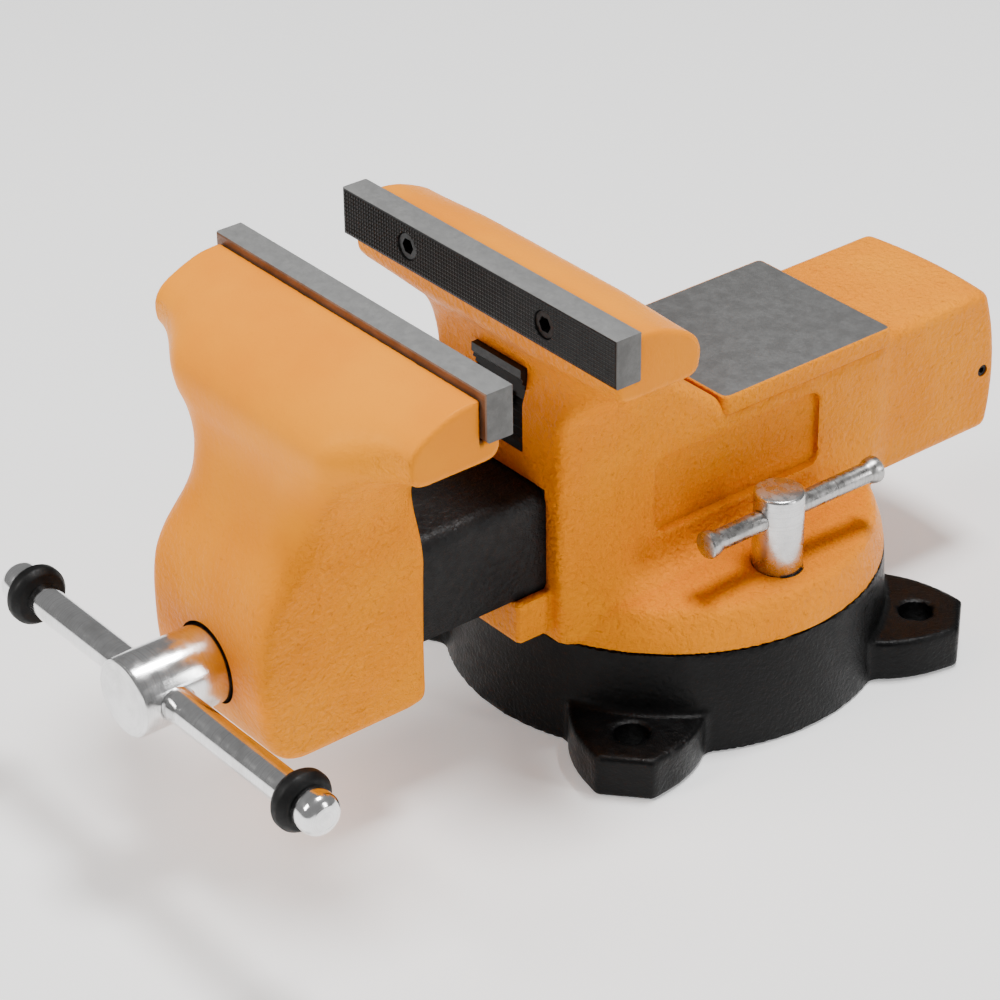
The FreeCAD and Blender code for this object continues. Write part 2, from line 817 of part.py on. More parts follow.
def pipe_jaw_screw(label, face, direction, turn):
    sunk = S["pipe_groove_depth"] - S["pipe_screw_sink"]
    start = face + sunk * direction
    thick = S["pipe_screw_head_length"]
    head = S["pipe_screw_head"]
    radius = S["pipe_screw_radius"]
    tip = S["pipe_jaw_depth"] - sunk - thick + S["pipe_screw_reach"]
    profile = [(0, 0), (head, 0), (head, thick), (radius, thick), (radius, tip - 0.8), (0, tip)]
    body = turned(label, profile, (0, start, pipe_middle), turn)
    socket = polygon(body, "XY_Plane", hexagon(radius * 0.86))
    pocket(body, socket, S["pipe_screw_socket"], up=True)
    return body


# -------------------------------------------------------------------- screw and slide

def slide_beam():
    """An upside-down channel that carries the moving jaw and covers the screw."""
    body = new_body("slide_beam", (0, thrust_inside, S["beam_bottom"]), ALONG_MINUS_Y)
    half = S["beam_width"] / 2
    inner = half - S["beam_wall"]
    roof = S["beam_height"] - S["beam_wall"]
    tall = S["beam_height"]
    corners = [(-half, 0), (-inner, 0), (-inner, roof), (inner, roof), (inner, 0), (half, 0),
               (half, tall), (-half, tall)]
    length = S["beam_rear"] - thrust_inside
    pad(body, polygon(body, "XY_Plane", corners), length, down=True)
    top = float(tall)
    width = float(half)
    dress(body, "Fillet", S["beam_edge_radius"],
          lambda edge: edge.BoundBox.ZLength > 100 and abs(edge.BoundBox.YMin - top) < 0.01
          and abs(abs(edge.CenterOfMass.x) - width) < 0.01)
    return body


def main_screw():
    """The lead screw with its journal and the turned head that holds the handle."""
    total = S["screw_end"] - spindle_front
    journal_end = collar_rear - spindle_front
    head = S["spindle_radius"]
    length = S["spindle_length"]
    thread = S["thread_radius"]
    profile = [(0, 0), (head - 1.5, 0), (head, 1.5), (head, length),
               (S["journal_radius"], length), (S["journal_radius"], journal_end),
               (thread, journal_end + 2), (thread, total - 2), (thread - 2, total),
               (0, total)]
    body = turned("main_screw", profile, (0, spindle_front, S["axis_height"]), ALONG_Y)
    bore = S["bar_radius"] + S["running_clearance"]
    hole = circles(body, "YZ_Plane", [(0, S["bar_set_back"], bore)])
    pocket(body, hole, head * 3, midplane=True)
    middle = collar_front + S["collar_length"] / 2 - spindle_front
    pin = circles(body, "XZ_Plane", [(0, middle, S["collar_pin_radius"])])
    pocket(body, pin, head * 3, midplane=True)
    return body


def thrust_washer():
    inner = S["journal_radius"] + S["hole_clearance"]
    outer = S["thrust_washer_radius"]
    thick = S["thrust_washer_thickness"]
    profile = [(inner, 0), (outer, 0), (outer, thick), (inner, thick)]
    return turned("thrust_washer", profile, (0, spindle_shoulder, S["axis_height"]), ALONG_Y)


def retaining_collar():
    """Pinned to the journal behind the jaw's wall, it draws the jaw open."""
    inner = S["journal_radius"]
    outer = S["collar_radius"]
    thick = S["collar_length"]
    profile = [(inner, 0), (outer, 0), (outer, thick), (inner, thick)]
    body = turned("retaining_collar", profile, (0, collar_front, S["axis_height"]), ALONG_Y)
    pin = circles(body, "XZ_Plane", [(0, thick / 2, S["collar_pin_radius"])])
    pocket(body, pin, outer * 3, midplane=True)
    return body


def collar_pin():
    radius = S["collar_pin_radius"]
    reach = S["collar_radius"] - 0.4
    profile = [(0, -reach), (radius, -reach), (radius, reach), (0, reach)]
    middle = collar_front + S["collar_length"] / 2
    return turned("collar_pin", profile, (0, middle, S["axis_height"]))


def main_nut():
    """The nut stands on the body's floor and reaches up into the channel."""
    middle = S["nut_front"] + S["nut_length"] / 2
    body = new_body("main_nut", (0, middle, S["nut_floor"]), UPRIGHT)
    half = S["nut_width"] / 2
    long = S["nut_length"] / 2
    corners = [(-half, -long), (half, -long), (half, long), (-half, long)]
    pad(body, polygon(body, "XY_Plane", corners), S["nut_top"] - S["nut_floor"])
    bore = S["thread_radius"] + S["running_clearance"]
    thread = circles(body, "XZ_Plane", [(0, S["axis_height"] - S["nut_floor"], bore)])
    pocket(body, thread, S["nut_length"] * 2, midplane=True)
    pitch = S["nut_bolt_pitch"] / 2
    tap = S["nut_bolt_radius"] + S["seat_clearance"]
    holes = circles(body, "XY_Plane", [(0, -pitch, tap), (0, pitch, tap)])
    pocket(body, holes, S["nut_tap_depth"], up=True)
    return body


def nut_bolts():
    """Two cap screws that hold the nut down from below."""
    bodies = []
    head = body_bottom + S["hole_clearance"]
    thick = S["nut_bolt_head_length"]
    tip = S["nut_bolt_length"]
    for number, place in enumerate(nut_bolt_places(), 1):
        radius = S["nut_bolt_radius"]
        profile = [(0, 0), (S["nut_bolt_head"], 0), (S["nut_bolt_head"], thick),
                   (radius, thick), (radius, tip - 0.8), (0, tip)]
        body = turned("nut_bolt_%d" % number, profile, (0, place, head))
        socket = polygon(body, "XY_Plane", hexagon(S["hex_socket_radius"]))
        pocket(body, socket, S["nut_bolt_socket_depth"], up=True)
        bodies.append(body)
    group = doc.addObject("Part::Compound", "nut_bolts")
    group.Label = "nut_bolts"
    group.Links = bodies
    return group


# -------------------------------------------------------------------------- the handle

def handle_bar():
    """The sliding bar; its two ends are turned down for the caps."""
    left = S["bar_left"]
    right = S["bar_right"]
    radius = S["bar_radius"]
    spigot = S["spigot_radius"]
    socket = S["cap_socket"]
    profile = [(0, -left), (spigot, -left), (spigot, -left + socket),
               (radius, -left + socket), (radius, right - socket),
               (spigot, right - socket), (spigot, right), (0, right)]
    return turned("handle_bar", profile, (0, bar_axis, S["axis_height"]), ALONG_X)


def handle_cap(label, inner_face, direction):
    """A domed cap screwed on the bar's end; local Z runs outward."""
    radius = S["cap_radius"]
    length = S["cap_length"]
    spigot = S["spigot_radius"] + S["seat_clearance"]
    depth = S["cap_socket"] + S["seat_clearance"]
    profile = [(spigot, 0), (radius - 1, 0), (radius, 1), (radius, length * 0.45),
               (radius * 0.93, length * 0.62), (radius * 0.76, length * 0.8),
               (radius * 0.5, length * 0.93), (radius * 0.25, length * 0.985), (0, length),
               (0, depth), (spigot, depth)]
    turn = Rotation(Vector(0, 1, 0), 90 * direction)
    return turned(label, profile, (inner_face, bar_axis, S["axis_height"]), turn)


def bumper_ring(label, start):
    """A rubber ring that cushions the cap's stop."""
    inner = S["bar_radius"] + S["seat_clearance"]
    outer = S["bumper_radius"]
    thick = S["bumper_thickness"]
    profile = [(inner, 0), (outer - 3, 0), (outer - 0.8, 1.6), (outer, thick * 0.35),
               (outer, thick * 0.65), (outer - 0.8, thick - 1.6), (outer - 3, thick),
               (inner, thick)]
    return turned(label, profile, (start, bar_axis, S["axis_height"]), ALONG_X)


def handle():
    left_face = -(S["bar_left"] - S["cap_socket"])
    right_face = S["bar_right"] - S["cap_socket"]
    pieces = [handle_bar()]
    pieces.append(handle_cap("handle_cap_left", left_face, -1))
    pieces.append(handle_cap("handle_cap_right", right_face, 1))
    pieces.append(bumper_ring("bumper_ring_left", left_face))
    pieces.append(bumper_ring("bumper_ring_right", right_face - S["bumper_thickness"]))
    return pieces


# ------------------------------------------------------------ swivel base and its locks

def swivel_base():
    """A heavy ring with a round T-slot inside and four lugs outside."""
    body = new_body("swivel_base")
    body.Placement = Placement(Vector(0, 0, 0), Vector(0, 0, 1), float(S["base_turn"]))
    bind(body, "Placement.Rotation.Angle", S["base_turn"])
    top = S["base_height"]
    floor = S["slot_floor"]
    under = floor - S["floor_thickness"]
    head_inner = S["slot_radius"] - S["slot_head_width"] / 2
    head_outer = S["slot_radius"] + S["slot_head_width"] / 2
    hub = head_inner - S["hub_wall"]
    bore = S["pivot_radius"] + S["running_clearance"]
    foot = S["ring_radius"] - S["ring_wall"]
    profile = [(S["ring_radius"], 0), (S["flange_radius"], top), (slot_outer, top),
               (slot_outer, slot_roof), (head_outer, slot_roof), (head_outer, floor),
               (head_inner, floor), (head_inner, slot_roof), (slot_inner, slot_roof),
               (slot_inner, top), (bore, top), (bore, S["boss_bottom"]),
               (S["boss_radius"], S["boss_bottom"]), (S["boss_radius"], slot_roof),
               (hub, slot_roof), (hub, under), (foot, under), (foot, 0)]
    revolve(body, polygon(body, "XZ_Plane", profile))

    root = foot - 2
    end = S["lug_end_radius"]
    wide = S["lug_width"] / 2
    narrow = S["lug_end_width"] / 2
    shoulder = S["lug_shoulder_radius"]
    corners = [(root, -wide), (shoulder, -wide), (end, -narrow), (end, narrow),
               (shoulder, wide), (root, wide)]
    lug = pad(body, polygon(body, "XY_Plane", corners), S["lug_thickness"])
    copies = body.newObject("PartDesign::PolarPattern", "lugs")
    copies.Originals = [lug]
    copies.Axis = (lug.Profile[0], ["N_Axis"])
    copies.Angle = 360
    copies.Occurrences = 4
    body.Tip = copies
    doc.recompute()
    round_lugs(body, math.hypot(float(shoulder), float(wide)), S["lug_shoulder_round"])
    round_lugs(body, math.hypot(float(end), float(narrow)), S["lug_corner_round"])
    rings = []
    for step in range(4):
        angle = math.radians(90 * step)
        circle = S["bolt_circle_radius"]
        rings.append((circle * round(math.cos(angle)), circle * round(math.sin(angle)),
                      S["bolt_hole_radius"]))
    pocket(body, circles(body, "XY_Plane", rings), S["lug_thickness"] * 2, up=True)
    return body


def round_lugs(body, reach, size):
    """Round the upright edges of all four lugs that stand at one reach from the middle."""
    dress(body, "Fillet", size,
          lambda edge: edge.BoundBox.ZLength > float(S["lug_thickness"]) - 0.01
          and edge.BoundBox.DiagonalLength < float(S["lug_thickness"]) + 0.01
          and abs(math.hypot(edge.CenterOfMass.x, edge.CenterOfMass.y) - reach) < 0.01)


def pivot_bolt():
    """The bolt that the body turns on."""
    washer = S["boss_bottom"] - S["pivot_washer_thickness"] - S["swivel_clearance"]
    length = S["pivot_reach"] - washer
    radius = S["pivot_radius"]
    profile = [(0, 0), (radius, 0), (radius, length - 1.5), (radius - 1.5, length),
               (0, length)]
    body = turned("pivot_bolt", profile, (0, 0, washer))
    head = polygon(body, "XY_Plane", hexagon(S["pivot_head_radius"]))
    pad(body, head, S["pivot_head_length"], down=True)
    return body


def pivot_washer():
    inner = S["pivot_radius"] + S["hole_clearance"]
    thick = S["pivot_washer_thickness"]
    outer = S["pivot_washer_radius"]
    profile = [(inner, 0), (outer, 0), (outer, thick), (inner, thick)]
    low = S["boss_bottom"] - thick - S["swivel_clearance"]
    return turned("pivot_washer", profile, (0, 0, low))


def lock_stud():
    """A T-bolt whose head rides in the round slot."""
    head_top = slot_roof - S["hole_clearance"]
    body = new_body("lock_stud_right", (S["slot_radius"], 0, head_top))
    wide = S["tee_head_width"] / 2
    long = S["tee_head_length"] / 2
    corners = [(-wide, -long), (wide, -long), (wide, long), (-wide, long)]
    pad(body, polygon(body, "XY_Plane", corners), S["tee_head_thickness"], down=True)
    shank = circles(body, "XY_Plane", [(0, 0, S["stud_radius"])])
    pad(body, shank, S["stud_top"] - head_top)
    return body


def lock_post():
    """A round nut that a bar turns; it clamps the flange to the base."""
    low = S["post_bottom"]
    tall = S["post_top"] - low
    radius = S["post_radius"]
    bore = S["stud_radius"] + S["running_clearance"]
    depth = S["stud_top"] - low + 1
    profile = [(bore, 0), (radius - 0.6, 0), (radius, 0.6), (radius, tall - 1),
               (radius - 1, tall), (0, tall), (0, depth), (bore, depth)]
    body = turned("lock_post_right", profile, (S["slot_radius"], 0, low))
    cross = S["lock_bar_radius"] + S["running_clearance"]
    hole = circles(body, "XZ_Plane", [(0, S["lock_bar_height"] - low, cross)])
    pocket(body, hole, radius * 3, midplane=True)
    return body


def lock_bar():
    """The locking bar, upset at both ends so that it can't fall out."""
    front = S["lock_bar_front"]
    rear = S["lock_bar_rear"]
    radius = S["lock_bar_radius"]
    knob = S["lock_knob_radius"]
    knob_length = S["lock_knob_length"]
    profile = [(0, -front), (knob - 1, -front), (knob, -front + 1),
               (knob - 0.3, -front + knob_length - 2), (radius, -front + knob_length),
               (radius, rear - knob_length), (knob - 0.3, rear - knob_length + 2),
               (knob, rear - 1), (knob - 1, rear), (0, rear)]
    place = (S["slot_radius"], 0, S["lock_bar_height"])
    return turned("lock_bar_right", profile, place, ALONG_Y)


def lock_washers():
    inner = S["stud_radius"] + S["hole_clearance"]
    outer = S["post_washer_radius"]
    thick = S["post_washer_thickness"]
    profile = [(inner, 0), (outer, 0), (outer, thick), (inner, thick)]
    washer = turned("lock_washer_right", profile, (S["slot_radius"], 0, spot_face))
    return mirrored_pair("lock_washers", washer)


def tail_set_screws():
    radius = S["set_screw_radius"]
    length = S["set_screw_length"]
    profile = [(0, 0), (radius, 0), (radius, length - 1.5), (radius - 1.5, length),
               (0, length)]
    place = (S["tail_width"] / 2 - 0.8, S["set_screw_place"], S["set_screw_height"])
    inward = Rotation(Vector(0, 1, 0), -90)
    screw = turned("tail_set_screw_right", profile, place, inward)
    pocket(screw, polygon(screw, "XY_Plane", hexagon(S["set_screw_socket"])),
           S["set_screw_socket_depth"], up=True)
    return mirrored_pair("tail_set_screws", screw)


# ----------------------------------------------------------------------- build and save

def build_all():
    nodes = [swivel_base(), pivot_bolt(), pivot_washer(), static_body(), moving_jaw()]
    stud = lock_stud()
    post = lock_post()
    bar = lock_bar()
    nodes += [stud, mirror_copy("lock_stud_left", stud)]
    nodes += [post, mirror_copy("lock_post_left", post)]
    nodes += [bar, mirror_copy("lock_bar_left", bar)]
    nodes += [lock_washers(), tail_set_screws()]
    nodes.append(jaw_plate("static_jaw_plate", S["clamp_plane"], ALONG_Y))
    nodes.append(jaw_plate("moving_jaw_plate", moving_face, ALONG_MINUS_Y))
    nodes.append(jaw_screws("static_jaw_screws", S["clamp_plane"], 1, ALONG_Y))
    nodes.append(jaw_screws("moving_jaw_screws", moving_face, -1, ALONG_MINUS_Y))
    nodes.append(pipe_jaw("static_pipe_jaw", static_pipe_face, 1))
    nodes.append(pipe_jaw("moving_pipe_jaw", moving_pipe_face, -1))
    nodes.append(pipe_jaw_screw("static_pipe_screw", static_pipe_face, 1, ALONG_Y))
    nodes.append(pipe_jaw_screw("moving_pipe_screw", moving_pipe_face, -1, ALONG_MINUS_Y))
    nodes += [slide_beam(), main_screw(), thrust_washer(), retaining_collar(), collar_pin()]
    nodes += [main_nut(), nut_bolts()]
    nodes += handle()
    return nodes


def check_document(nodes):
    """Stop before anything is written if an object failed or a shape is unsound."""
    for item in doc.Objects:
        if "Invalid" in item.State or "Error" in item.State:
            raise ValueError("failed object: " + item.Label)
    for node in nodes:
        if node.Shape.isNull() or not node.Shape.isValid():
            raise ValueError("unsound shape: " + node.Label)


def write_parts(nodes):
    os.makedirs("parts", exist_ok=True)
    for node in nodes:
        node.Shape.exportStep("parts/%s.step" % node.Label)
        box = node.Shape.BoundBox
        print("%-20s solids %d volume %.0f x %.1f %.1f y %.1f %.1f z %.1f %.1f" % (
            node.Label, len(node.Shape.Solids), node.Shape.Volume, box.XMin, box.XMax,
            box.YMin, box.YMax, box.ZMin, box.ZMax))


all_nodes = build_all()
doc.recompute()
check_document(all_nodes)
write_parts(all_nodes)
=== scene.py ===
import math

import bmesh
import bpy
import numpy as np
from mathutils import Matrix, Vector


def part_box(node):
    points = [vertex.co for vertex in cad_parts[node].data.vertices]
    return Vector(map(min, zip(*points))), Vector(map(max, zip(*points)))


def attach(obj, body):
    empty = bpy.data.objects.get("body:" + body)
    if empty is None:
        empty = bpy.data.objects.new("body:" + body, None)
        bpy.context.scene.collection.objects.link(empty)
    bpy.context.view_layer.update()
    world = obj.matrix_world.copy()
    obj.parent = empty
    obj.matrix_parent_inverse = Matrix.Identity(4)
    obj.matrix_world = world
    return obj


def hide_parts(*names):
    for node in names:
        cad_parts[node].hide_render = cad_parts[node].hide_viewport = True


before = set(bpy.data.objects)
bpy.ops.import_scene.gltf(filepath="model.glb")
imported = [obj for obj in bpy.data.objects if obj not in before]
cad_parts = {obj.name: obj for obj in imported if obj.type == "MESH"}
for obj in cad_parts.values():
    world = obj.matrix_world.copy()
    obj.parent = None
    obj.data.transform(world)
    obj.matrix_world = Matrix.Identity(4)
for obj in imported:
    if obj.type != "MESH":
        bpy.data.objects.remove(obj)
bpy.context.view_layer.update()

# Shapes are worked out in millimetres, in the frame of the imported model, and put into
# metres when a mesh is made.
MM = 0.001


def node_box(node):
    """A node's lowest and highest corners in millimetres."""
    low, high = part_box(node)
    return np.array(low) / MM, np.array(high) / MM


# ------------------------------------------------------------------ places in the frame

static_plate_low, static_plate_high = node_box("static_jaw_plate")
moving_plate_low, moving_plate_high = node_box("moving_jaw_plate")
static_low, static_high = node_box("static_body")
moving_low, moving_high = node_box("moving_jaw")
base_low, base_high = node_box("swivel_base")
beam_low, beam_high = node_box("slide_beam")
screw_low, screw_high = node_box("main_screw")
bar_low, bar_high = node_box("handle_bar")
pipe_low, pipe_high = node_box("static_pipe_jaw")
moving_pipe_low = node_box("moving_pipe_jaw")[0]
post_low, post_high = node_box("lock_post_right")
lock_bar_low, lock_bar_high = node_box("lock_bar_right")

STATIC_BACK = static_plate_high[1]
MOVING_BACK = moving_plate_low[1]
PLATE_MIDDLE = (static_plate_low[2] + static_plate_high[2]) / 2
SCREW_AXIS = (screw_low[2] + screw_high[2]) / 2
BAR_AXIS_Y = (bar_low[1] + bar_high[1]) / 2
POST_X = (post_low[0] + post_high[0]) / 2
LOCK_BAR_Z = (lock_bar_low[2] + lock_bar_high[2]) / 2
HEAD_HALF = moving_high[0]


# -------------------------------------------------- rounded solids from distance fields

def blend_min(a, b, size):
    """Union of two distances with a hollow fillet of about this size."""
    share = np.clip(0.5 + 0.5 * (b - a) / size, 0, 1)
    return b * (1 - share) + a * share - size * share * (1 - share)


def blend_max(a, b, size):
    """Intersection of two distances with a rounded edge of about this size."""
    return -blend_min(-a, -b, size)


def ease(value, start, end):
    """Smooth step from 0 at start to 1 at end."""
    share = np.clip((value - start) / (end - start), 0, 1)
    return share * share * (3 - 2 * share)


def curve_through(points, steps=6):
    """A smooth line through the points, ends included."""
    points = np.array(points, dtype=float)
    padded = np.vstack([2 * points[0] - points[1], points, 2 * points[-1] - points[-2]])
    line = []
    for p0, p1, p2, p3 in zip(padded, padded[1:], padded[2:], padded[3:]):
        for step in range(steps):
            t = step / steps
            line.append(0.5 * (2 * p1 + (p2 - p0) * t + (2 * p0 - 5 * p1 + 4 * p2 - p3) * t * t
                               + (3 * p1 - p0 - 3 * p2 + p3) * t ** 3))
    line.append(points[-1])
    return [tuple(point) for point in line]


def outline_distance(outline, a, b):
    """Signed distance to a closed outline, negative inside."""
    corners = np.array(outline, dtype=float)
    nearest = np.full(np.broadcast(a, b).shape, 1e12)
    inside = np.zeros(nearest.shape, dtype=bool)
    for start, end in zip(corners, np.roll(corners, -1, axis=0)):
        edge = end - start
        length = float(edge @ edge)
        if length < 1e-9:
            continue
        along = np.clip(((a - start[0]) * edge[0] + (b - start[1]) * edge[1]) / length, 0, 1)
        away_a = a - start[0] - along * edge[0]
        away_b = b - start[1] - along * edge[1]
        nearest = np.minimum(nearest, away_a * away_a + away_b * away_b)
        if abs(edge[1]) > 1e-12:
            crosses = (start[1] > b) != (end[1] > b)
            meets = start[0] + (b - start[1]) / edge[1] * edge[0]
            inside ^= crosses & (a < meets)
    return np.where(inside, -1, 1) * np.sqrt(nearest)


def box_distance(x, y, z, low, high, rounding=0.0):
    """Signed distance to a box with rounded edges."""
    middle = [(a + b) / 2 for a, b in zip(low, high)]
    half = [(b - a) / 2 - rounding for a, b in zip(low, high)]
    away = [np.abs(value - c) - h for value, c, h in zip((x, y, z), middle, half)]
    outside = np.sqrt(sum(np.maximum(value, 0) ** 2 for value in away))
    inside = np.minimum(np.maximum(np.maximum(away[0], away[1]), away[2]), 0)
    return outside + inside - rounding


def surface_net(field, low, high, step):
    """Corners and four-sided faces of the surface where a field is zero."""
    counts = [int(math.ceil((b - a) / step)) + 1 for a, b in zip(low, high)]
    axes = [a + step * np.arange(n) for a, n in zip(low, counts)]
    x, y, z = np.meshgrid(*axes, indexing="ij", sparse=True)
    values = np.broadcast_to(field(x, y, z), counts)
    full = values < 0
    cells = tuple(n - 1 for n in counts)
    total = np.zeros(cells + (3,), dtype=np.float32)
    number = np.zeros(cells, dtype=np.int32)
    crossings = []
    for axis in range(3):
        first = [slice(None)] * 3
        second = [slice(None)] * 3
        first[axis] = slice(0, -1)
        second[axis] = slice(1, None)
        a = values[tuple(first)]
        b = values[tuple(second)]
        crossing = full[tuple(first)] != full[tuple(second)]
        crossings.append(crossing)
        share = np.where(crossing, a / np.where(crossing, a - b, 1), 0)
        others = [other for other in range(3) if other != axis]
        for shift_a in (0, 1):
            for shift_b in (0, 1):
                part = [slice(None)] * 3
                part[others[0]] = slice(shift_a, shift_a + cells[others[0]])
                part[others[1]] = slice(shift_b, shift_b + cells[others[1]])
                part = tuple(part)
                hit = crossing[part]
                number += hit
                total[..., axis] += share[part] * hit
                total[..., others[0]] += shift_a * hit
                total[..., others[1]] += shift_b * hit
    used = number > 0
    index = np.full(cells, -1, dtype=np.int64)
    index[used] = np.arange(int(used.sum()))
    corner = np.argwhere(used)
    places = np.array(low) + step * (corner + total[used] / number[used][:, None])
    faces = []
    for axis, crossing in enumerate(crossings):
        others = [other for other in range(3) if other != axis]
        inner = [slice(None)] * 3
        inner[others[0]] = slice(1, -1)
        inner[others[1]] = slice(1, -1)
        at = np.argwhere(crossing[tuple(inner)])
        at[:, others] += 1
        ring = []
        for shift_a, shift_b in ((0, 0), (1, 0), (1, 1), (0, 1)):
            cell = at.copy()
            cell[:, others[0]] -= 1 - shift_a
            cell[:, others[1]] -= 1 - shift_b
            ring.append(index[cell[:, 0], cell[:, 1], cell[:, 2]])
        quads = np.stack(ring, axis=1)
        start_full = full[at[:, 0], at[:, 1], at[:, 2]]
        flip = start_full if axis != 1 else ~start_full
        quads[~flip] = quads[~flip][:, ::-1]
        faces.append(quads)
    return places, np.vstack(faces)


def settle(field, places, rounds=4, reach=0.4):
    """Move points along the field's slope until they lie on its zero surface."""
    tiny = 0.05
    for _ in range(rounds):
        x, y, z = places.T
        value = field(x, y, z)
        slope = np.stack([field(x + tiny, y, z) - field(x - tiny, y, z),
                          field(x, y + tiny, z) - field(x, y - tiny, z),
                          field(x, y, z + tiny) - field(x, y, z - tiny)], axis=1) / (2 * tiny)
        size = np.maximum((slope ** 2).sum(axis=1), 0.2)
        step = value[:, None] * slope / size[:, None]
        length = np.linalg.norm(step, axis=1, keepdims=True)
        places = places - step * np.minimum(1, reach / np.maximum(length, 1e-9))
    return places


def cast_piece(name, field, low, high, step):
    """A casting's mesh from its distance field, sampled on a grid of this step."""
    low = np.array(low, dtype=float) - 2.3 * step
    high = np.array(high, dtype=float) + 2.3 * step
    places, faces = surface_net(field, low, high, step)
    places = settle(field, places)
    mesh = bpy.data.meshes.new(name)
    mesh.from_pydata((places * MM).tolist(), [], faces.tolist())
    mesh.update()
    return add_object(name, mesh)


def add_object(name, mesh):
    piece = bpy.data.objects.new(name, mesh)
    bpy.context.scene.collection.objects.link(piece)
    return piece


# --------------------------------------------------------------------- turned and cut

def lathe(name, profile, origin, direction, segments=96):
    """A turned piece from (radius, distance) corners along a direction from an origin."""
    mesh = bmesh.new()
    turn = Vector((0, 0, 1)).rotation_difference(Vector(direction)).to_matrix().to_4x4()
    place = Matrix.Translation(Vector(origin) * MM) @ turn
    rings = []
    for radius, distance in profile:
        if radius < 1e-6:
            rings.append([mesh.verts.new(place @ Vector((0, 0, distance * MM)))])
            continue
        ring = []
        for step in range(segments):
            angle = 2 * math.pi * step / segments
            point = Vector((radius * math.cos(angle), radius * math.sin(angle), distance))
            ring.append(mesh.verts.new(place @ (point * MM)))
        rings.append(ring)
    for lower, upper in zip(rings, rings[1:]):
        for step in range(segments):
            after = (step + 1) % segments
            corners = [lower[step % len(lower)], lower[after % len(lower)],
                       upper[after % len(upper)], upper[step % len(upper)]]
            corners = list(dict.fromkeys(corners))
            if len(corners) > 2:
                mesh.faces.new(corners)
    if len(rings[0]) > 1 and profile[0][0] > 1e-6 and profile[0] != profile[-1]:
        mesh.faces.new(list(reversed(rings[0])))
        mesh.faces.new(rings[-1])
    bmesh.ops.remove_doubles(mesh, verts=mesh.verts, dist=1e-7)
    bmesh.ops.recalc_face_normals(mesh, faces=mesh.faces)
    data = bpy.data.meshes.new(name)
    mesh.to_mesh(data)
    mesh.free()
    return add_object(name, data)


def ring_profile(profile):
    """Close a profile that never reaches the axis."""
    return profile + profile[:1]


def cut_away(piece, tools):
    """Subtract closed tools from a piece, then remove them."""
    for tool in tools:
        modifier = piece.modifiers.new("cut", "BOOLEAN")
        modifier.operation = "DIFFERENCE"
        modifier.solver = "EXACT"
        modifier.object = tool
    bake_modifiers(piece)
    for tool in tools:
        bpy.data.objects.remove(tool)


def bake_modifiers(piece):
    """Apply every modifier to the mesh."""
    graph = bpy.context.evaluated_depsgraph_get()
    graph.update()
    mesh = bpy.data.meshes.new_from_object(piece.evaluated_get(graph))
    piece.modifiers.clear()
    piece.data = mesh


def bevel(piece, width, angle=35, segments=2):
    """Break the sharp edges of a piece."""
    modifier = piece.modifiers.new("bevel", "BEVEL")
    modifier.width = width * MM
    modifier.segments = segments
    modifier.limit_method = "ANGLE"
    modifier.angle_limit = math.radians(angle)
    modifier.harden_normals = False
    bake_modifiers(piece)


def smooth(piece, angle=32):
    """Shade a piece smooth except over edges sharper than the angle."""
    mesh = bmesh.new()
    mesh.from_mesh(piece.data)
    for face in mesh.faces:
        face.smooth = True
    for edge in mesh.edges:
        edge.smooth = edge.is_manifold and edge.calc_face_angle(0) < math.radians(angle)
    mesh.to_mesh(piece.data)
    mesh.free()


def rod(name, start, direction, radius, length, segments=64):
    """A closed cylinder used as a cutting tool."""
    profile = [(0, 0), (radius, 0), (radius, length), (0, length)]
    return lathe(name, profile, start, direction, segments)


def prism(name, outline, low, high):
    """A closed block from an outline in the XZ plane, from one y to another."""
    mesh = bmesh.new()
    near = [mesh.verts.new(Vector((x, low, z)) * MM) for x, z in outline]
    far = [mesh.verts.new(Vector((x, high, z)) * MM) for x, z in outline]
    mesh.faces.new(near)
    mesh.faces.new(list(reversed(far)))
    count = len(outline)
    for step in range(count):
        after = (step + 1) % count
        mesh.faces.new([near[step], far[step], far[after], near[after]])
    bmesh.ops.recalc_face_normals(mesh, faces=mesh.faces)
    data = bpy.data.meshes.new(name)
    mesh.to_mesh(data)
    mesh.free()
    return add_object(name, data)


# ----------------------------------------------------------------------- both castings

def tee_distance(x, z, corners):
    """Signed distance to a jaw's outline from the front: a column under a wide head."""
    foot, brow = corners[0], corners[-1]
    outline = [(-300, foot[1] - 300), (foot[0], foot[1] - 300)] + corners
    outline += [(brow[0], brow[1] + 60), (-300, brow[1] + 60)]
    return outline_distance(outline, x, z)


def head_end():
    """The D-shaped end of a jaw head, as (distance from the plate's back, height)."""
    back = [(4, 249), (14, 247.6), (26, 243), (34.5, 238), (38.6, 231.3), (38.2, 222),
            (35, 216.4), (30, 214.4)]
    heel = [(-4, 214.6), (-8.5, 217), (-10.4, 222), (-10.5, 228.4)]
    return [(0, 249)] + curve_through(back) + curve_through(heel) + [(0, 228.4)]


HEAD_END = head_end()

# Bores and hollows of the moving jaw: radii, then places along y and z.
MOUTH = 20.9
JOURNAL_BORE = 15.4
MOUTH_FLOOR = -259.2
HOLLOW_FRONT = -245.1
BEAM_SEAT_HALF = 35.4
BEAM_SEAT = (85.6, 141)
CLEAR_OF_BACK = -150

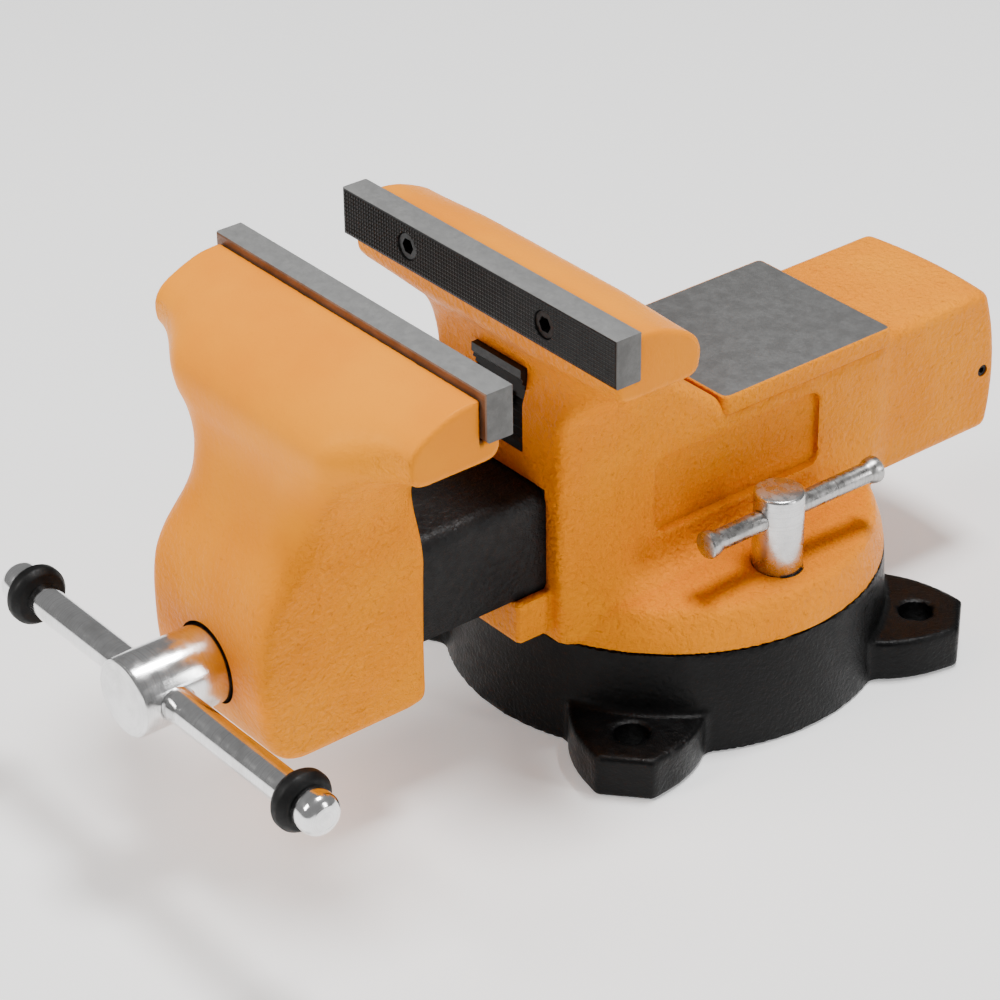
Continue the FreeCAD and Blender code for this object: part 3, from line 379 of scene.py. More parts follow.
# The jaw's section in the middle, as (distance from the plate's back, height).
MOVING_MIDDLE = ([(0, 249)] + curve_through(
    [(6, 249), (24, 246.3), (40, 240), (51, 231.5), (57.3, 221.5), (58.6, 211), (58, 202),
     (59.4, 192), (63.2, 181), (68, 170), (73.6, 160), (78.3, 151), (82.6, 139),
     (85, 126), (85.6, 111), (85.3, 96), (83.2, 80), (79, 68), (73, 61), (65, 58),
     (58, 57.6)])
    + [(2, 57.6)] + curve_through([(-6, 59), (-9.1, 64), (-9.2, 80), (-9.2, 137)])
    + curve_through([(-8.6, 175), (-8.6, 198), (-9.4, 212), (-10.3, 223), (-10.5, 228.4)])
    + [(0, 228.4)])
MOVING_TEE = curve_through([(44.5, 96), (45.4, 125), (46.6, 150), (47, 167), (48.6, 177.5),
                            (53, 188), (61, 198.6), (72, 206.6), (86, 212.3),
                            (97.5, 215.3)]) + [(110, 216)]


def moving_jaw_field(x, y, z):
    side = np.abs(x)
    out = MOVING_BACK - y
    share = ease(side, 52, 98)
    middle = outline_distance(MOVING_MIDDLE, out, z)
    end = outline_distance(HEAD_END, out, z)
    body = middle * (1 - share) + end * share
    scoop = 8 + 16 * ease(z, 135, 180) * (1 - ease(side, 60, 96))
    body = blend_max(body, tee_distance(side, z, MOVING_TEE), scoop)
    body = blend_max(body, side - HEAD_HALF, 2.2)
    radius = np.sqrt(x * x + (z - SCREW_AXIS) ** 2)
    body = np.maximum(body, -np.maximum(radius - JOURNAL_BORE, np.abs(y + 252) - 12))
    hollow = box_distance(x, y, z, (-BEAM_SEAT_HALF, HOLLOW_FRONT, BEAM_SEAT[0]),
                          (BEAM_SEAT_HALF, CLEAR_OF_BACK, BEAM_SEAT[1]))
    lower = box_distance(x, y, z, (-25, HOLLOW_FRONT, 76), (25, CLEAR_OF_BACK, 90))
    body = np.maximum(body, -np.minimum(hollow, lower))
    return body


STATIC_MIDDLE = ([(0, 249)] + curve_through(
    [(6, 249), (18, 247.6), (30, 243.4), (38, 236), (43, 226), (47, 213), (53, 199),
     (59, 190), (65, 184)])
    + [(97.4, 159.6), (105, 152), (213, 152), (213, 84), (201, 50), (12, 50),
       (-2.2, 59.5), (-2.2, 179)]
    + curve_through([(-2.2, 180), (0.6, 190), (0.8, 200), (-2.6, 209), (-7.6, 214),
                     (-10.2, 218.4), (-10.5, 222), (-10.5, 228.4)])
    + [(0, 228.4)])
STATIC_TEE = curve_through([(59.5, 56), (57.6, 66), (54, 78), (50.2, 92), (48.2, 106),
                            (48, 120), (48, 150), (48, 172), (50, 182), (58, 191), (74, 202),
                            (88, 210), (97.5, 215.5)]) + [(110, 216)]
FLANGE = [(-40, 56.3), (108.9, 56.3), (108.9, 58), (107.9, 64), (105.6, 71), (104.2, 74.2),
          (102.2, 75.6), (90, 76.8), (75, 78.4), (48, 81.8), (-40, 84)]
NOSE = [(-60, -95), (39.5, -95), (39.5, -127.2), (37.8, -128.9), (-60, -128.9)]

# The recessed panel in the slab's side, and the tunnel of the beam and screw.
PANEL_MIDDLE = (4, 120)
PANEL_HALF = (54, 21)
PANEL_CORNER = 7
PANEL_FLOOR = 45.3
TUNNEL_FRONT = -150
TUNNEL_END = 165.5
TUNNEL_HALF = 35.3
TUNNEL_ROOF = 140.8
TUNNEL_FLOOR = 85.7
TUNNEL_EDGE = 8
TROUGH_HALF = 22
TROUGH_FLOOR = 78
FLANGE_BOTTOM = 56.25


def static_body_field(x, y, z):
    side = np.abs(x)
    out = y - STATIC_BACK
    share = ease(side, 44, 97)
    middle = outline_distance(STATIC_MIDDLE, out, z)
    end = outline_distance(HEAD_END, out, z)
    body = middle * (1 - share) + end * share
    body = blend_max(body, tee_distance(side, z, STATIC_TEE), 6)
    body = blend_max(body, side - HEAD_HALF, 2.2)
    end_bow = 4 * (x / 45) ** 2 + 9 * (np.maximum(z - 104, 0) / 49.5) ** 2
    end_bow = end_bow + 4 * (np.maximum(104 - z, 0) / 33) ** 2
    tail = box_distance(x, y + end_bow, z, (-45, 30, 71), (45, static_high[1], 153.5), 5.5)
    body = blend_min(body, tail, 7)
    nose = blend_max(outline_distance(NOSE, side, y), np.abs(z - 75) - 11.5, 1.6)
    body = blend_min(body, nose, 1.6)
    radius = np.sqrt(x * x + y * y)
    flange = outline_distance(FLANGE, radius, z) - 2
    body = blend_min(body, flange, 2.5 + 8 * ease(z, 68, 82))
    corner_y = np.abs(y - PANEL_MIDDLE[0]) - (PANEL_HALF[0] - PANEL_CORNER)
    corner_z = np.abs(z - PANEL_MIDDLE[1]) - (PANEL_HALF[1] - PANEL_CORNER)
    rounded = np.sqrt(np.maximum(corner_y, 0) ** 2 + np.maximum(corner_z, 0) ** 2)
    rounded = rounded + np.minimum(np.maximum(corner_y, corner_z), 0) - PANEL_CORNER
    panel = np.maximum(rounded, PANEL_FLOOR - side)
    body = blend_max(body, -panel, 0.9)
    upper = box_distance(x, y, z, (-TUNNEL_HALF, TUNNEL_FRONT - 10, 70),
                         (TUNNEL_HALF, TUNNEL_END + 14.5, TUNNEL_ROOF), TUNNEL_EDGE)
    upper = np.maximum(np.maximum(upper, TUNNEL_FLOOR - z), y - TUNNEL_END)
    lower = box_distance(x, y, z, (-TROUGH_HALF, TUNNEL_FRONT, TROUGH_FLOOR),
                         (TROUGH_HALF, TUNNEL_END, 99))
    body = np.maximum(body, -np.minimum(upper, lower))
    return np.maximum(body, FLANGE_BOTTOM - z)


# ------------------------------------------------------------------------- swivel base

RING = [(114.4, 0), (111.2, 56), (89, 56), (89, 44), (98, 44), (98, 26), (66, 26),
        (66, 44), (75, 44), (75, 56), (8.2, 56), (8.2, 30), (24, 30), (24, 44), (56, 44),
        (56, 14), (101.4, 14), (101.4, 0)]
LUG_TURN = math.radians(41.5)
LUG_MIDDLE = 11.4
BOLT_CIRCLE = 129
BOLT_HOLE = 9
LUG = [(90, -34.4), (104, -34.2)] + curve_through(
    [(110, -33.9), (117, -32.9), (124, -31), (131, -28.2), (138, -24.4), (145, -19.5),
     (150.6, -15.2)])
LUG = LUG + [(152, -13.4), (152, 13.4)] + [(a, -b) for a, b in reversed(LUG[2:])] + [
    (104, 34.2), (90, 34.4)]


def swivel_base_field(x, y, z):
    radius = np.sqrt(x * x + y * y)
    ring = outline_distance(RING, radius, z)
    along = x * math.cos(LUG_TURN) + y * math.sin(LUG_TURN)
    across = -x * math.sin(LUG_TURN) + y * math.cos(LUG_TURN)
    first = np.maximum(np.abs(along), np.abs(across))
    second = np.where(np.abs(along) > np.abs(across), across, along)
    lug = outline_distance(LUG, first, second)
    lug = blend_max(lug, np.abs(z - LUG_MIDDLE) - LUG_MIDDLE, 2.6)
    solid = blend_min(ring, lug, 4)
    solid = np.where(radius < 104, ring, solid)
    hole = np.sqrt((first - BOLT_CIRCLE) ** 2 + second ** 2)
    return np.maximum(np.maximum(solid, BOLT_HOLE - hole), -z)


# --------------------------------------------------------------------------- materials

class Graph:
    """A material's nodes, with short names for the few kinds that are used."""

    def __init__(self, name):
        self.material = bpy.data.materials.new(name)
        self.material.use_nodes = True
        self.nodes = self.material.node_tree.nodes
        self.links = self.material.node_tree.links
        self.shader = self.nodes["Principled BSDF"]
        place = self.nodes.new("ShaderNodeTexCoord")
        self.place = place.outputs["Object"]
        self.normal = self.nodes.new("ShaderNodeNewGeometry").outputs["Normal"]

    def join(self, value, socket):
        if isinstance(value, bpy.types.NodeSocket):
            self.links.new(value, socket)
        else:
            socket.default_value = value

    def noise(self, scale, detail=4.0, roughness=0.55, distortion=0.0, stretch=None):
        node = self.nodes.new("ShaderNodeTexNoise")
        node.inputs["Scale"].default_value = scale
        node.inputs["Detail"].default_value = detail
        node.inputs["Roughness"].default_value = roughness
        node.inputs["Distortion"].default_value = distortion
        place = self.place
        if stretch:
            mapping = self.nodes.new("ShaderNodeMapping")
            mapping.inputs["Scale"].default_value = stretch
            self.links.new(place, mapping.inputs["Vector"])
            place = mapping.outputs["Vector"]
        self.links.new(place, node.inputs["Vector"])
        return node.outputs["Fac"]

    def calc(self, kind, a, b=0.0):
        node = self.nodes.new("ShaderNodeMath")
        node.operation = kind
        self.join(a, node.inputs[0])
        self.join(b, node.inputs[1])
        return node.outputs[0]

    def span(self, value, low, high, to_low=0.0, to_high=1.0):
        node = self.nodes.new("ShaderNodeMapRange")
        node.interpolation_type = "SMOOTHSTEP"
        self.join(value, node.inputs["Value"])
        for name, number in (("From Min", low), ("From Max", high),
                             ("To Min", to_low), ("To Max", to_high)):
            node.inputs[name].default_value = number
        return node.outputs["Result"]

    def parts_of(self, vector):
        node = self.nodes.new("ShaderNodeSeparateXYZ")
        self.links.new(vector, node.inputs[0])
        return node.outputs

    def mix(self, share, a, b):
        node = self.nodes.new("ShaderNodeMix")
        node.data_type = "RGBA"
        self.join(share, node.inputs[0])
        for socket, colour in ((node.inputs[6], a), (node.inputs[7], b)):
            self.join(colour if isinstance(colour, bpy.types.NodeSocket) else (*colour, 1),
                      socket)
        return node.outputs[2]

    def bump(self, height, strength, depth, under=None):
        node = self.nodes.new("ShaderNodeBump")
        self.join(strength, node.inputs["Strength"])
        node.inputs["Distance"].default_value = depth * MM
        self.links.new(height, node.inputs["Height"])
        if under:
            self.links.new(under, node.inputs["Normal"])
        return node.outputs["Normal"]

    def finish(self, colour, roughness, normal, metallic=0.0, specular=0.5):
        self.join(colour, self.shader.inputs["Base Color"])
        self.join(roughness, self.shader.inputs["Roughness"])
        self.join(normal, self.shader.inputs["Normal"])
        self.join(metallic, self.shader.inputs["Metallic"])
        self.shader.inputs["Specular IOR Level"].default_value = specular
        return self.material


ORANGE_LIGHT = (0.86, 0.285, 0.0)
ORANGE = (0.80, 0.24, 0.0)
ORANGE_DARK = (0.40, 0.06, 0.0)


def enamel(name, seam):
    """Orange enamel over sand-cast iron: smooth on the worked faces, crinkled elsewhere.

    It has painted shade darkening its hollows, and a thin dark line beside the jaw plate.
    """
    g = Graph(name)
    x, y, z = g.parts_of(g.place)
    nx, ny, nz = g.parts_of(g.normal)
    high = g.span(z, 0.205, 0.226)
    ends = g.calc("MULTIPLY", g.span(g.calc("ABSOLUTE", nx), 0.8, 0.95), high)
    tops = g.calc("MULTIPLY", g.span(nz, 0.25, 0.5), g.span(z, 0.2, 0.235))
    front = g.calc("MULTIPLY", g.span(ny, -0.45, -0.75), g.span(y, -0.23, -0.25))
    front = g.calc("MULTIPLY", front, g.span(z, 0.13, 0.19, 0.45, 0.9))
    even = g.calc("MAXIMUM", g.calc("MAXIMUM", ends, tops), front)
    rough_cast = g.span(even, 0.0, 1.0, 1.0, 0.12)
    patches = g.noise(14, 3)
    colour = g.mix(g.span(patches, 0.35, 0.7), ORANGE, ORANGE_LIGHT)
    pits = g.noise(420, 3, 0.6, 0.6)
    colour = g.mix(g.calc("MULTIPLY", g.span(pits, 0.42, 0.28, 0.0, 0.35), rough_cast),
                   colour, ORANGE_DARK)
    # Painted shade: ambient occlusion mixes the colour toward ORANGE_DARK in hollows and
    # creases.
    shade = g.nodes.new("ShaderNodeAmbientOcclusion")
    shade.samples = 8
    shade.inputs["Distance"].default_value = 0.045
    hollow = g.span(shade.outputs["AO"], 0.25, 0.92, 0.8, 0.0)
    colour = g.mix(hollow, colour, ORANGE_DARK)
    # A thin wavering dark line on the casting beside the jaw plate, mixed into the colour.
    near = g.calc("ABSOLUTE", g.calc("SUBTRACT", y, seam * MM))
    wander = g.calc("MULTIPLY", g.noise(260, 3), 0.0022)
    edge = g.calc("MULTIPLY", g.span(g.calc("SUBTRACT", near, wander), 0.0003, -0.0003),
                  g.span(z, 0.224, 0.229))
    colour = g.mix(edge, colour, (0.085, 0.035, 0.014))
    crinkle = g.bump(g.noise(360, 4, 0.55, 0.35), rough_cast, 1.9)
    skin = g.bump(g.noise(1000, 2), g.calc("MULTIPLY", rough_cast, 0.5), 0.4, crinkle)
    sag = g.bump(g.noise(60, 3), g.calc("MULTIPLY", rough_cast, 0.7), 3.0, skin)
    fine = g.noise(900, 2)
    roughness = g.calc("ADD", g.span(fine, 0.3, 0.7, 0.30, 0.42),
                       g.calc("MULTIPLY", edge, 0.3))
    g.shader.inputs["Specular Tint"].default_value = (1.0, 0.55, 0.10, 1)
    return g.finish(colour, roughness, sag, specular=0.14)


def plain(name, light, dark, rough, grains, patch=25.0, metallic=0.0,
          specular=0.5, stretch=None, wear=None):
    """A finish with patchy colour, uneven roughness, worn specks and one or two grains."""
    g = Graph(name)
    colour = g.mix(g.span(g.noise(patch, 5), 0.32, 0.68), dark, light)
    fine = g.noise(grains[0][0], 3, 0.6, 0.0, stretch)
    colour = g.mix(g.span(fine, 0.35, 0.7, 0.0, 0.45), colour, dark)
    if wear:
        colour = g.mix(g.span(g.noise(patch * 9, 6, 0.7), 0.6, 0.72, 0.0, 0.6), colour, wear)
    normal = None
    for scale, strength, depth in grains:
        height = g.noise(scale, 3, 0.6, 0.3, stretch)
        normal = g.bump(height, strength, depth, normal)
    roughness = g.span(g.noise(patch * 5, 4), 0.3, 0.7, rough[0], rough[1])
    return g.finish(colour, roughness, normal, metallic, specular)


def turned_steel(name, light, dark, rough, axis, centre, rings=2600.0, strength=0.25):
    """Bright steel with fine tool rings about an axis, and faint smears along it."""
    g = Graph(name)
    parts = g.parts_of(g.place)
    others = [number for number in range(3) if number != axis]
    square = [g.calc("POWER", g.calc("SUBTRACT", parts[number], centre[number] * MM), 2.0)
              for number in others]
    radius = g.calc("SQRT", g.calc("ADD", square[0], square[1]))
    away = g.calc("ADD", radius, g.calc("MULTIPLY", parts[axis], 0.7))
    node = g.nodes.new("ShaderNodeTexNoise")
    node.noise_dimensions = "1D"
    node.inputs["Scale"].default_value = rings
    node.inputs["Detail"].default_value = 2.0
    g.links.new(away, node.inputs["W"])
    lines = node.outputs["Fac"]
    smear = g.noise(60, 5, 0.6)
    colour = g.mix(g.span(smear, 0.4, 0.8, 0.0, 0.6), light, dark)
    colour = g.mix(g.span(lines, 0.45, 0.75, 0.0, 0.3), colour, dark)
    normal = g.bump(lines, strength, 0.05)
    normal = g.bump(g.noise(700, 3), 0.06, 0.08, normal)
    roughness = g.span(g.noise(220, 4), 0.3, 0.7, rough[0], rough[1])
    return g.finish(colour, roughness, normal, 1.0)


orange_moving = enamel("orange_enamel_moving", MOVING_BACK)
orange_static = enamel("orange_enamel_static", STATIC_BACK)
black_enamel = plain("black_enamel", (0.0035, 0.0035, 0.0036), (0.0012, 0.0012, 0.0013),
                     (0.3, 0.44), [(460, 0.6, 0.8), (1200, 0.3, 0.3)], specular=0.13,
                     wear=(0.008, 0.0076, 0.0072))
# Black of the slide beam; the same material is painted into the mouth and the tunnel as shade.
beam_black_and_painted_shade = plain("beam_black_and_painted_shade", (0.0105, 0.0102, 0.010), (0.0035, 0.0035, 0.0037),
                   (0.34, 0.52), [(360, 0.75, 1.1), (1200, 0.35, 0.3)], patch=40,
                   specular=0.17, wear=(0.016, 0.0148, 0.0136))
ground_grey = plain("ground_grey", (0.255, 0.255, 0.252), (0.215, 0.215, 0.213),
                    (0.42, 0.54), [(1400, 0.3, 0.14), (300, 0.1, 0.1)], patch=130,
                    metallic=0.5, wear=(0.18, 0.175, 0.17))
anvil_grey = plain("anvil_grey", (0.160, 0.160, 0.158), (0.118, 0.117, 0.115), (0.42, 0.56),
                   [(520, 0.6, 0.4), (1400, 0.3, 0.14)], patch=160, metallic=0.45,
                   wear=(0.14, 0.13, 0.12))
# Sides and ends of the jaw plates: a ground grain of their own, and painted darker than the
# tops as shade.
plate_side_grain_and_shade = plain("plate_side_grain_and_shade", (0.115, 0.113, 0.110), (0.080, 0.078, 0.075), (0.38, 0.52),
                   [(900, 0.35, 0.12)], patch=120, metallic=0.5, stretch=(0.12, 1, 1),
                   wear=(0.09, 0.08, 0.07))
plate_back = plain("plate_back", (0.20, 0.10, 0.055), (0.12, 0.055, 0.028), (0.36, 0.5),
                   [(900, 0.35, 0.12)], patch=60, metallic=0.35, stretch=(0.12, 1, 1),
                   wear=(0.07, 0.035, 0.02))
# Dark finish of the knurled faces, also used as painted shade on the counterbore walls.
knurl_dark_and_hole_shade = plain("knurl_dark_and_hole_shade", (0.0085, 0.0083, 0.008), (0.003, 0.003, 0.003), (0.36, 0.5),
                   [(1300, 0.3, 0.15)], patch=45, specular=0.3, wear=(0.016, 0.015, 0.014))
black_steel = plain("black_steel_finish", (0.0045, 0.0045, 0.0045), (0.002, 0.002, 0.002),
                    (0.34, 0.5), [(900, 0.3, 0.12)], patch=80, specular=0.25,
                    wear=(0.012, 0.0115, 0.011))
nut_iron = plain("nut_iron_finish", (0.22, 0.20, 0.18), (0.09, 0.08, 0.07), (0.45, 0.65),
                 [(500, 0.4, 0.4)], patch=60, metallic=0.6, wear=(0.14, 0.07, 0.035))
zinc = plain("zinc_finish", (0.62, 0.61, 0.59), (0.34, 0.33, 0.31), (0.24, 0.42),
             [(700, 0.25, 0.12), (160, 0.12, 0.2)], patch=120, metallic=0.95,
             wear=(0.22, 0.19, 0.15))
rubber = plain("black_rubber_finish", (0.003, 0.003, 0.0032), (0.0012, 0.0012, 0.0012),
               (0.46, 0.6), [(600, 0.3, 0.3)], patch=70, specular=0.2,
               wear=(0.01, 0.0095, 0.009))
CHROME = (0.84, 0.84, 0.84)
CHROME_DARK = (0.5, 0.49, 0.48)
POST_STEEL = (0.66, 0.66, 0.66)
POST_DARK = (0.42, 0.415, 0.41)
spindle_chrome = turned_steel("spindle_chrome", CHROME, CHROME_DARK, (0.14, 0.24), 1,
                              (0, 0, SCREW_AXIS), 1500.0, 0.16)
bar_chrome = turned_steel("bar_chrome", CHROME, CHROME_DARK, (0.08, 0.18), 0,
                          (0, BAR_AXIS_Y, SCREW_AXIS), 1900.0, 0.16)
post_chrome_right = turned_steel("post_chrome_right", POST_STEEL, POST_DARK, (0.2, 0.34), 2,
                                 (POST_X, 0, 0), 1400.0, 0.2)
post_chrome_left = turned_steel("post_chrome_left", POST_STEEL, POST_DARK, (0.2, 0.34), 2,
                                (-POST_X, 0, 0), 1400.0, 0.2)
bar_zinc_right = turned_steel("lock_bar_zinc_right", (0.46, 0.45, 0.44), (0.17, 0.165, 0.16),
                              (0.2, 0.38), 1, (POST_X, 0, LOCK_BAR_Z), 900.0, 0.25)
bar_zinc_left = turned_steel("lock_bar_zinc_left", (0.46, 0.45, 0.44), (0.17, 0.165, 0.16),
                             (0.2, 0.38), 1, (-POST_X, 0, LOCK_BAR_Z), 900.0, 0.25)


# ----------------------------------------------------------------------------- fitting

def finish_piece(piece, node, body, materials, angle=34, choose=None):
    """Give a piece its materials and put it in a node's place on its body.

    choose gives a face's material number from its centre (mm) and its normal.
    """
    piece.data.materials.clear()
    for material in materials:
        piece.data.materials.append(material)
    if choose:
        for polygon in piece.data.polygons:
            polygon.material_index = choose(polygon.center / MM, polygon.normal)
    smooth(piece, angle)
    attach(piece, body)
    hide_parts(node)
    return piece


def raised_block(name, outline, low, high):
    """A closed block on an outline in the XY plane, from one height to another."""
    piece = prism(name, outline, -high, -low)
    piece.data.transform(Matrix(((1, 0, 0, 0), (0, 0, 1, 0), (0, -1, 0, 0), (0, 0, 0, 1))))
    return piece


def arc(centre, radius, start, end, steps=8):
    """Points of a round corner, angles in degrees."""
    points = []
    for step in range(steps + 1):
        angle = math.radians(start + (end - start) * step / steps)
        points.append((centre[0] + radius * math.cos(angle),
                       centre[1] + radius * math.sin(angle)))
    return points


def pipe_seat(name, near, far):
    """The tool that opens a casting's face for its pipe jaw."""
    low, high = pipe_low[2] - 0.12, pipe_high[2] + 0.12
    half = pipe_high[0] + 0.12
    outline = [(-half, low), (half, low), (half, high), (-half, high)]
    return prism(name, outline, near, far)


# ---------------------------------------------------------------------------- castings

moving = cast_piece("moving_casting", moving_jaw_field, moving_low, moving_high, 1.55)
cut_away(moving, [
    pipe_seat("seat_tool", moving_pipe_low[1], CLEAR_OF_BACK),
    rod("mouth_tool", (0, MOUTH_FLOOR, SCREW_AXIS), (0, -1, 0), MOUTH, 60, 112)])


def mouth_painted_shade(centre, _normal):
    """The wall and floor of the mouth around the screw are painted dark as shade."""
    away = math.hypot(centre.x, centre.z - SCREW_AXIS)
    return int(away < MOUTH + 0.06 and centre.y < -230)


finish_piece(moving, "moving_jaw", "jaw", [orange_moving, beam_black_and_painted_shade],
             48, choose=mouth_painted_shade)

static = cast_piece("static_casting", static_body_field, static_low, static_high, 1.8)
set_screws = node_box("tail_set_screws")
screw_y = (set_screws[0][1] + set_screws[1][1]) / 2
screw_z = (set_screws[0][2] + set_screws[1][2]) / 2
tools = [pipe_seat("seat_tool", -150, pipe_high[1])]
for side in (-1, 1):
    tools.append(rod("hole_tool", (34 * side, screw_y, screw_z), (side, 0, 0),
                     set_screws[1][2] - screw_z + 0.1, 30))
    tools.append(rod("post_tool", (POST_X * side, 0, 76.5), (0, 0, 1), 12.95, 20, 80))
cut_away(static, tools)


def tunnel_painted_shade(centre, _normal):
    """The walls of the beam's tunnel are painted dark as shade."""
    inside = abs(centre.x) < TUNNEL_HALF + 0.2
    inside = inside and TROUGH_FLOOR - 0.2 < centre.z < TUNNEL_ROOF + 0.2
    return int(inside and -126 < centre.y < TUNNEL_END + 0.1)


finish_piece(static, "static_body", "swivel",
             [orange_static, beam_black_and_painted_shade], 48, choose=tunnel_painted_shade)

ANVIL_TOP = 160
anvil_plan = arc((45.9, 102.9), 3.5, 0, 90, 4) + arc((-45.9, 102.9), 3.5, 90, 180, 4)
anvil_plan += arc((-44.4, -2.4), 5, 180, 270, 4) + arc((44.4, -2.4), 5, 270, 360, 4)
anvil = raised_block("anvil_pad", anvil_plan, 149.6, ANVIL_TOP)
bevel(anvil, 1.2, 50, 3)
finish_piece(anvil, "static_body", "swivel",
             [orange_static, anvil_grey], 50,
             lambda centre, normal: int(normal.z > 0.97 and centre.z > ANVIL_TOP - 0.5))

base = cast_piece("base_casting", swivel_base_field, base_low, base_high, 1.8)
finish_piece(base, "swivel_base", "base", [black_enamel], 48)


# -------------------------------------------------------------------------- jaw plates

KNURL_PITCH = 2.0
KNURL_DEPTH = 0.55
SCREW_HEAD_RADIUS = 6.5
COUNTERBORE_MOUTH = 7.6


def jaw_plate(name, face_y, inward, low, high, back_low_round):
    """A ground plate whose clamping face is cut into small pyramids."""
    mesh = bmesh.new()
    wide = high[0] - 1.2
    bottom, top = low[2] + 1.1, high[2] - 1.1
    columns = int(round(2 * wide / KNURL_PITCH))
    rows = int(round((top - bottom) / KNURL_PITCH))
    xs = np.linspace(-wide, wide, columns + 1)
    zs = np.linspace(bottom, top, rows + 1)

    def vertex(x, depth, z):
        return mesh.verts.new(Vector((x, face_y + inward * depth, z)) * MM)

    grid = [[vertex(x, KNURL_DEPTH, z) for z in zs] for x in xs]
    flat = 0.42
    for i in range(columns):
        for j in range(rows):
            ring = [grid[i][j], grid[i + 1][j], grid[i + 1][j + 1], grid[i][j + 1]]
            middle = ((xs[i] + xs[i + 1]) / 2, (zs[j] + zs[j + 1]) / 2)
            crown = []
            for a, b in ((-1, -1), (1, -1), (1, 1), (-1, 1)):
                crown.append(vertex(middle[0] + a * flat, 0.02, middle[1] + b * flat))
            for k in range(4):
                mesh.faces.new([ring[k], ring[(k + 1) % 4], crown[(k + 1) % 4], crown[k]])
            mesh.faces.new(crown)
    edge = [(i, 0) for i in range(columns)] + [(columns, j) for j in range(rows)]
    edge += [(i, rows) for i in range(columns, 0, -1)] + [(0, j) for j in range(rows, 0, -1)]
    thick = abs(high[1] - low[1])
    last = [grid[i][j] for i, j in edge]
    sections = [(0.62, 0.35), (1.0, 0.05), (1.5, 0.0), (thick - 1.4, 0.0),
                (thick - 0.5, 0.28), (thick, 0.9)]
    for number, (depth, inset) in enumerate(sections):
        ring = []
        for i, j in edge:
            x, z = xs[i], zs[j]
            if i in (0, columns):
                x = math.copysign(high[0] - inset, x)
            if j == 0:
                lift = back_low_round * (inset / 0.9) if depth > thick / 2 else inset
                z = low[2] + lift
            if j == rows:
                z = high[2] - inset
            ring.append(vertex(x, depth, z))
        count = len(edge)
        for k in range(count):
            mesh.faces.new([last[k], last[(k + 1) % count], ring[(k + 1) % count], ring[k]])
        last = ring
    mesh.faces.new(last)
    bmesh.ops.recalc_face_normals(mesh, faces=mesh.faces)
    data = bpy.data.meshes.new(name)
    mesh.to_mesh(data)
    mesh.free()
    plate = add_object(name, data)
    screw_x = node_box("static_jaw_screws")[1][0] - SCREW_HEAD_RADIUS
    tools = []
    for side in (-1, 1):
        profile = [(0, -1), (COUNTERBORE_MOUTH, -1), (6.95, 0.75), (6.95, 10.2), (5.2, 10.2),
                   (5.2, thick + 2), (0, thick + 2)]
        start = (screw_x * side, face_y, PLATE_MIDDLE)
        tools.append(lathe("counterbore", profile, start, (0, inward, 0), 64))
    cut_away(plate, tools)

    def choose(centre, normal):
        depth = (centre.y - face_y) * inward
        aside = math.hypot(abs(centre.x) - screw_x, centre.z - PLATE_MIDDLE)
        sunk = aside < COUNTERBORE_MOUTH + 0.1
        # The counterbore walls take the dark knurl finish as painted shade in the screw holes.
        if depth < 0.7 or sunk and depth < thick - 0.1:
            return 1
        if depth > thick - 0.7:
            return 3
        # Side and end faces take the darker side finish, painted shade against the lit tops.
        return int(abs(normal.z) < 0.5) * 2

    return plate, choose


static_plate, static_choice = jaw_plate(
    "static_plate", static_plate_low[1], 1, static_plate_low, static_plate_high, 1.4)
finish_piece(static_plate, "static_jaw_plate", "swivel",
             [ground_grey, knurl_dark_and_hole_shade, plate_side_grain_and_shade, plate_back], 25, static_choice)
moving_plate, moving_choice = jaw_plate(
    "moving_plate", moving_plate_high[1], -1, moving_plate_low, moving_plate_high, 2.6)
finish_piece(moving_plate, "moving_jaw_plate", "jaw",
             [ground_grey, knurl_dark_and_hole_shade, plate_side_grain_and_shade, plate_back], 25, moving_choice)


# ---------------------------------------------------------------------- beam and screw

inner_top = beam_high[2] - 10
beam_outline = [(-35, beam_low[2]), (-25, beam_low[2])]
beam_outline += arc((-22, inner_top - 3), 3, 180, 90, 4) + arc((22, inner_top - 3), 3, 90, 0, 4)
beam_outline += [(25, beam_low[2]), (35, beam_low[2])]
beam_outline += arc((27, beam_high[2] - 8), 8, 0, 90) + arc((-27, beam_high[2] - 8), 8, 90, 180)
beam = prism("beam_channel", beam_outline, beam_low[1], beam_high[1])
bevel(beam, 0.8, 50, 2)
finish_piece(beam, "slide_beam", "jaw", [beam_black_and_painted_shade], 40)

SPINDLE_RADIUS = 19.5
SPINDLE_LENGTH = 65
JOURNAL_RADIUS = 15
head_profile = [(0, 0), (17.2, 0), (18.3, 0.25), (19.1, 0.9), (SPINDLE_RADIUS, 2.1),
                (SPINDLE_RADIUS, 63.4), (19.1, 64.5), (18.2, SPINDLE_LENGTH),
                (JOURNAL_RADIUS, SPINDLE_LENGTH), (JOURNAL_RADIUS, 94.2), (12.4, 96.4),
                (0, 96.4)]
spindle_start = (0, screw_low[1], SCREW_AXIS)
spindle = lathe("spindle_head", head_profile, spindle_start, (0, 1, 0), 128)
bar_hole = [(0, 0), (10.4, 0), (10.4, 1.8), (8.29, 3.9), (8.29, 40.1), (10.4, 42.2),
            (10.4, 44), (0, 44)]
cut_away(spindle, [lathe("bar_tool", bar_hole, (-22, BAR_AXIS_Y, SCREW_AXIS), (1, 0, 0), 64)])
finish_piece(spindle, "main_screw", "screw", [spindle_chrome], 30)


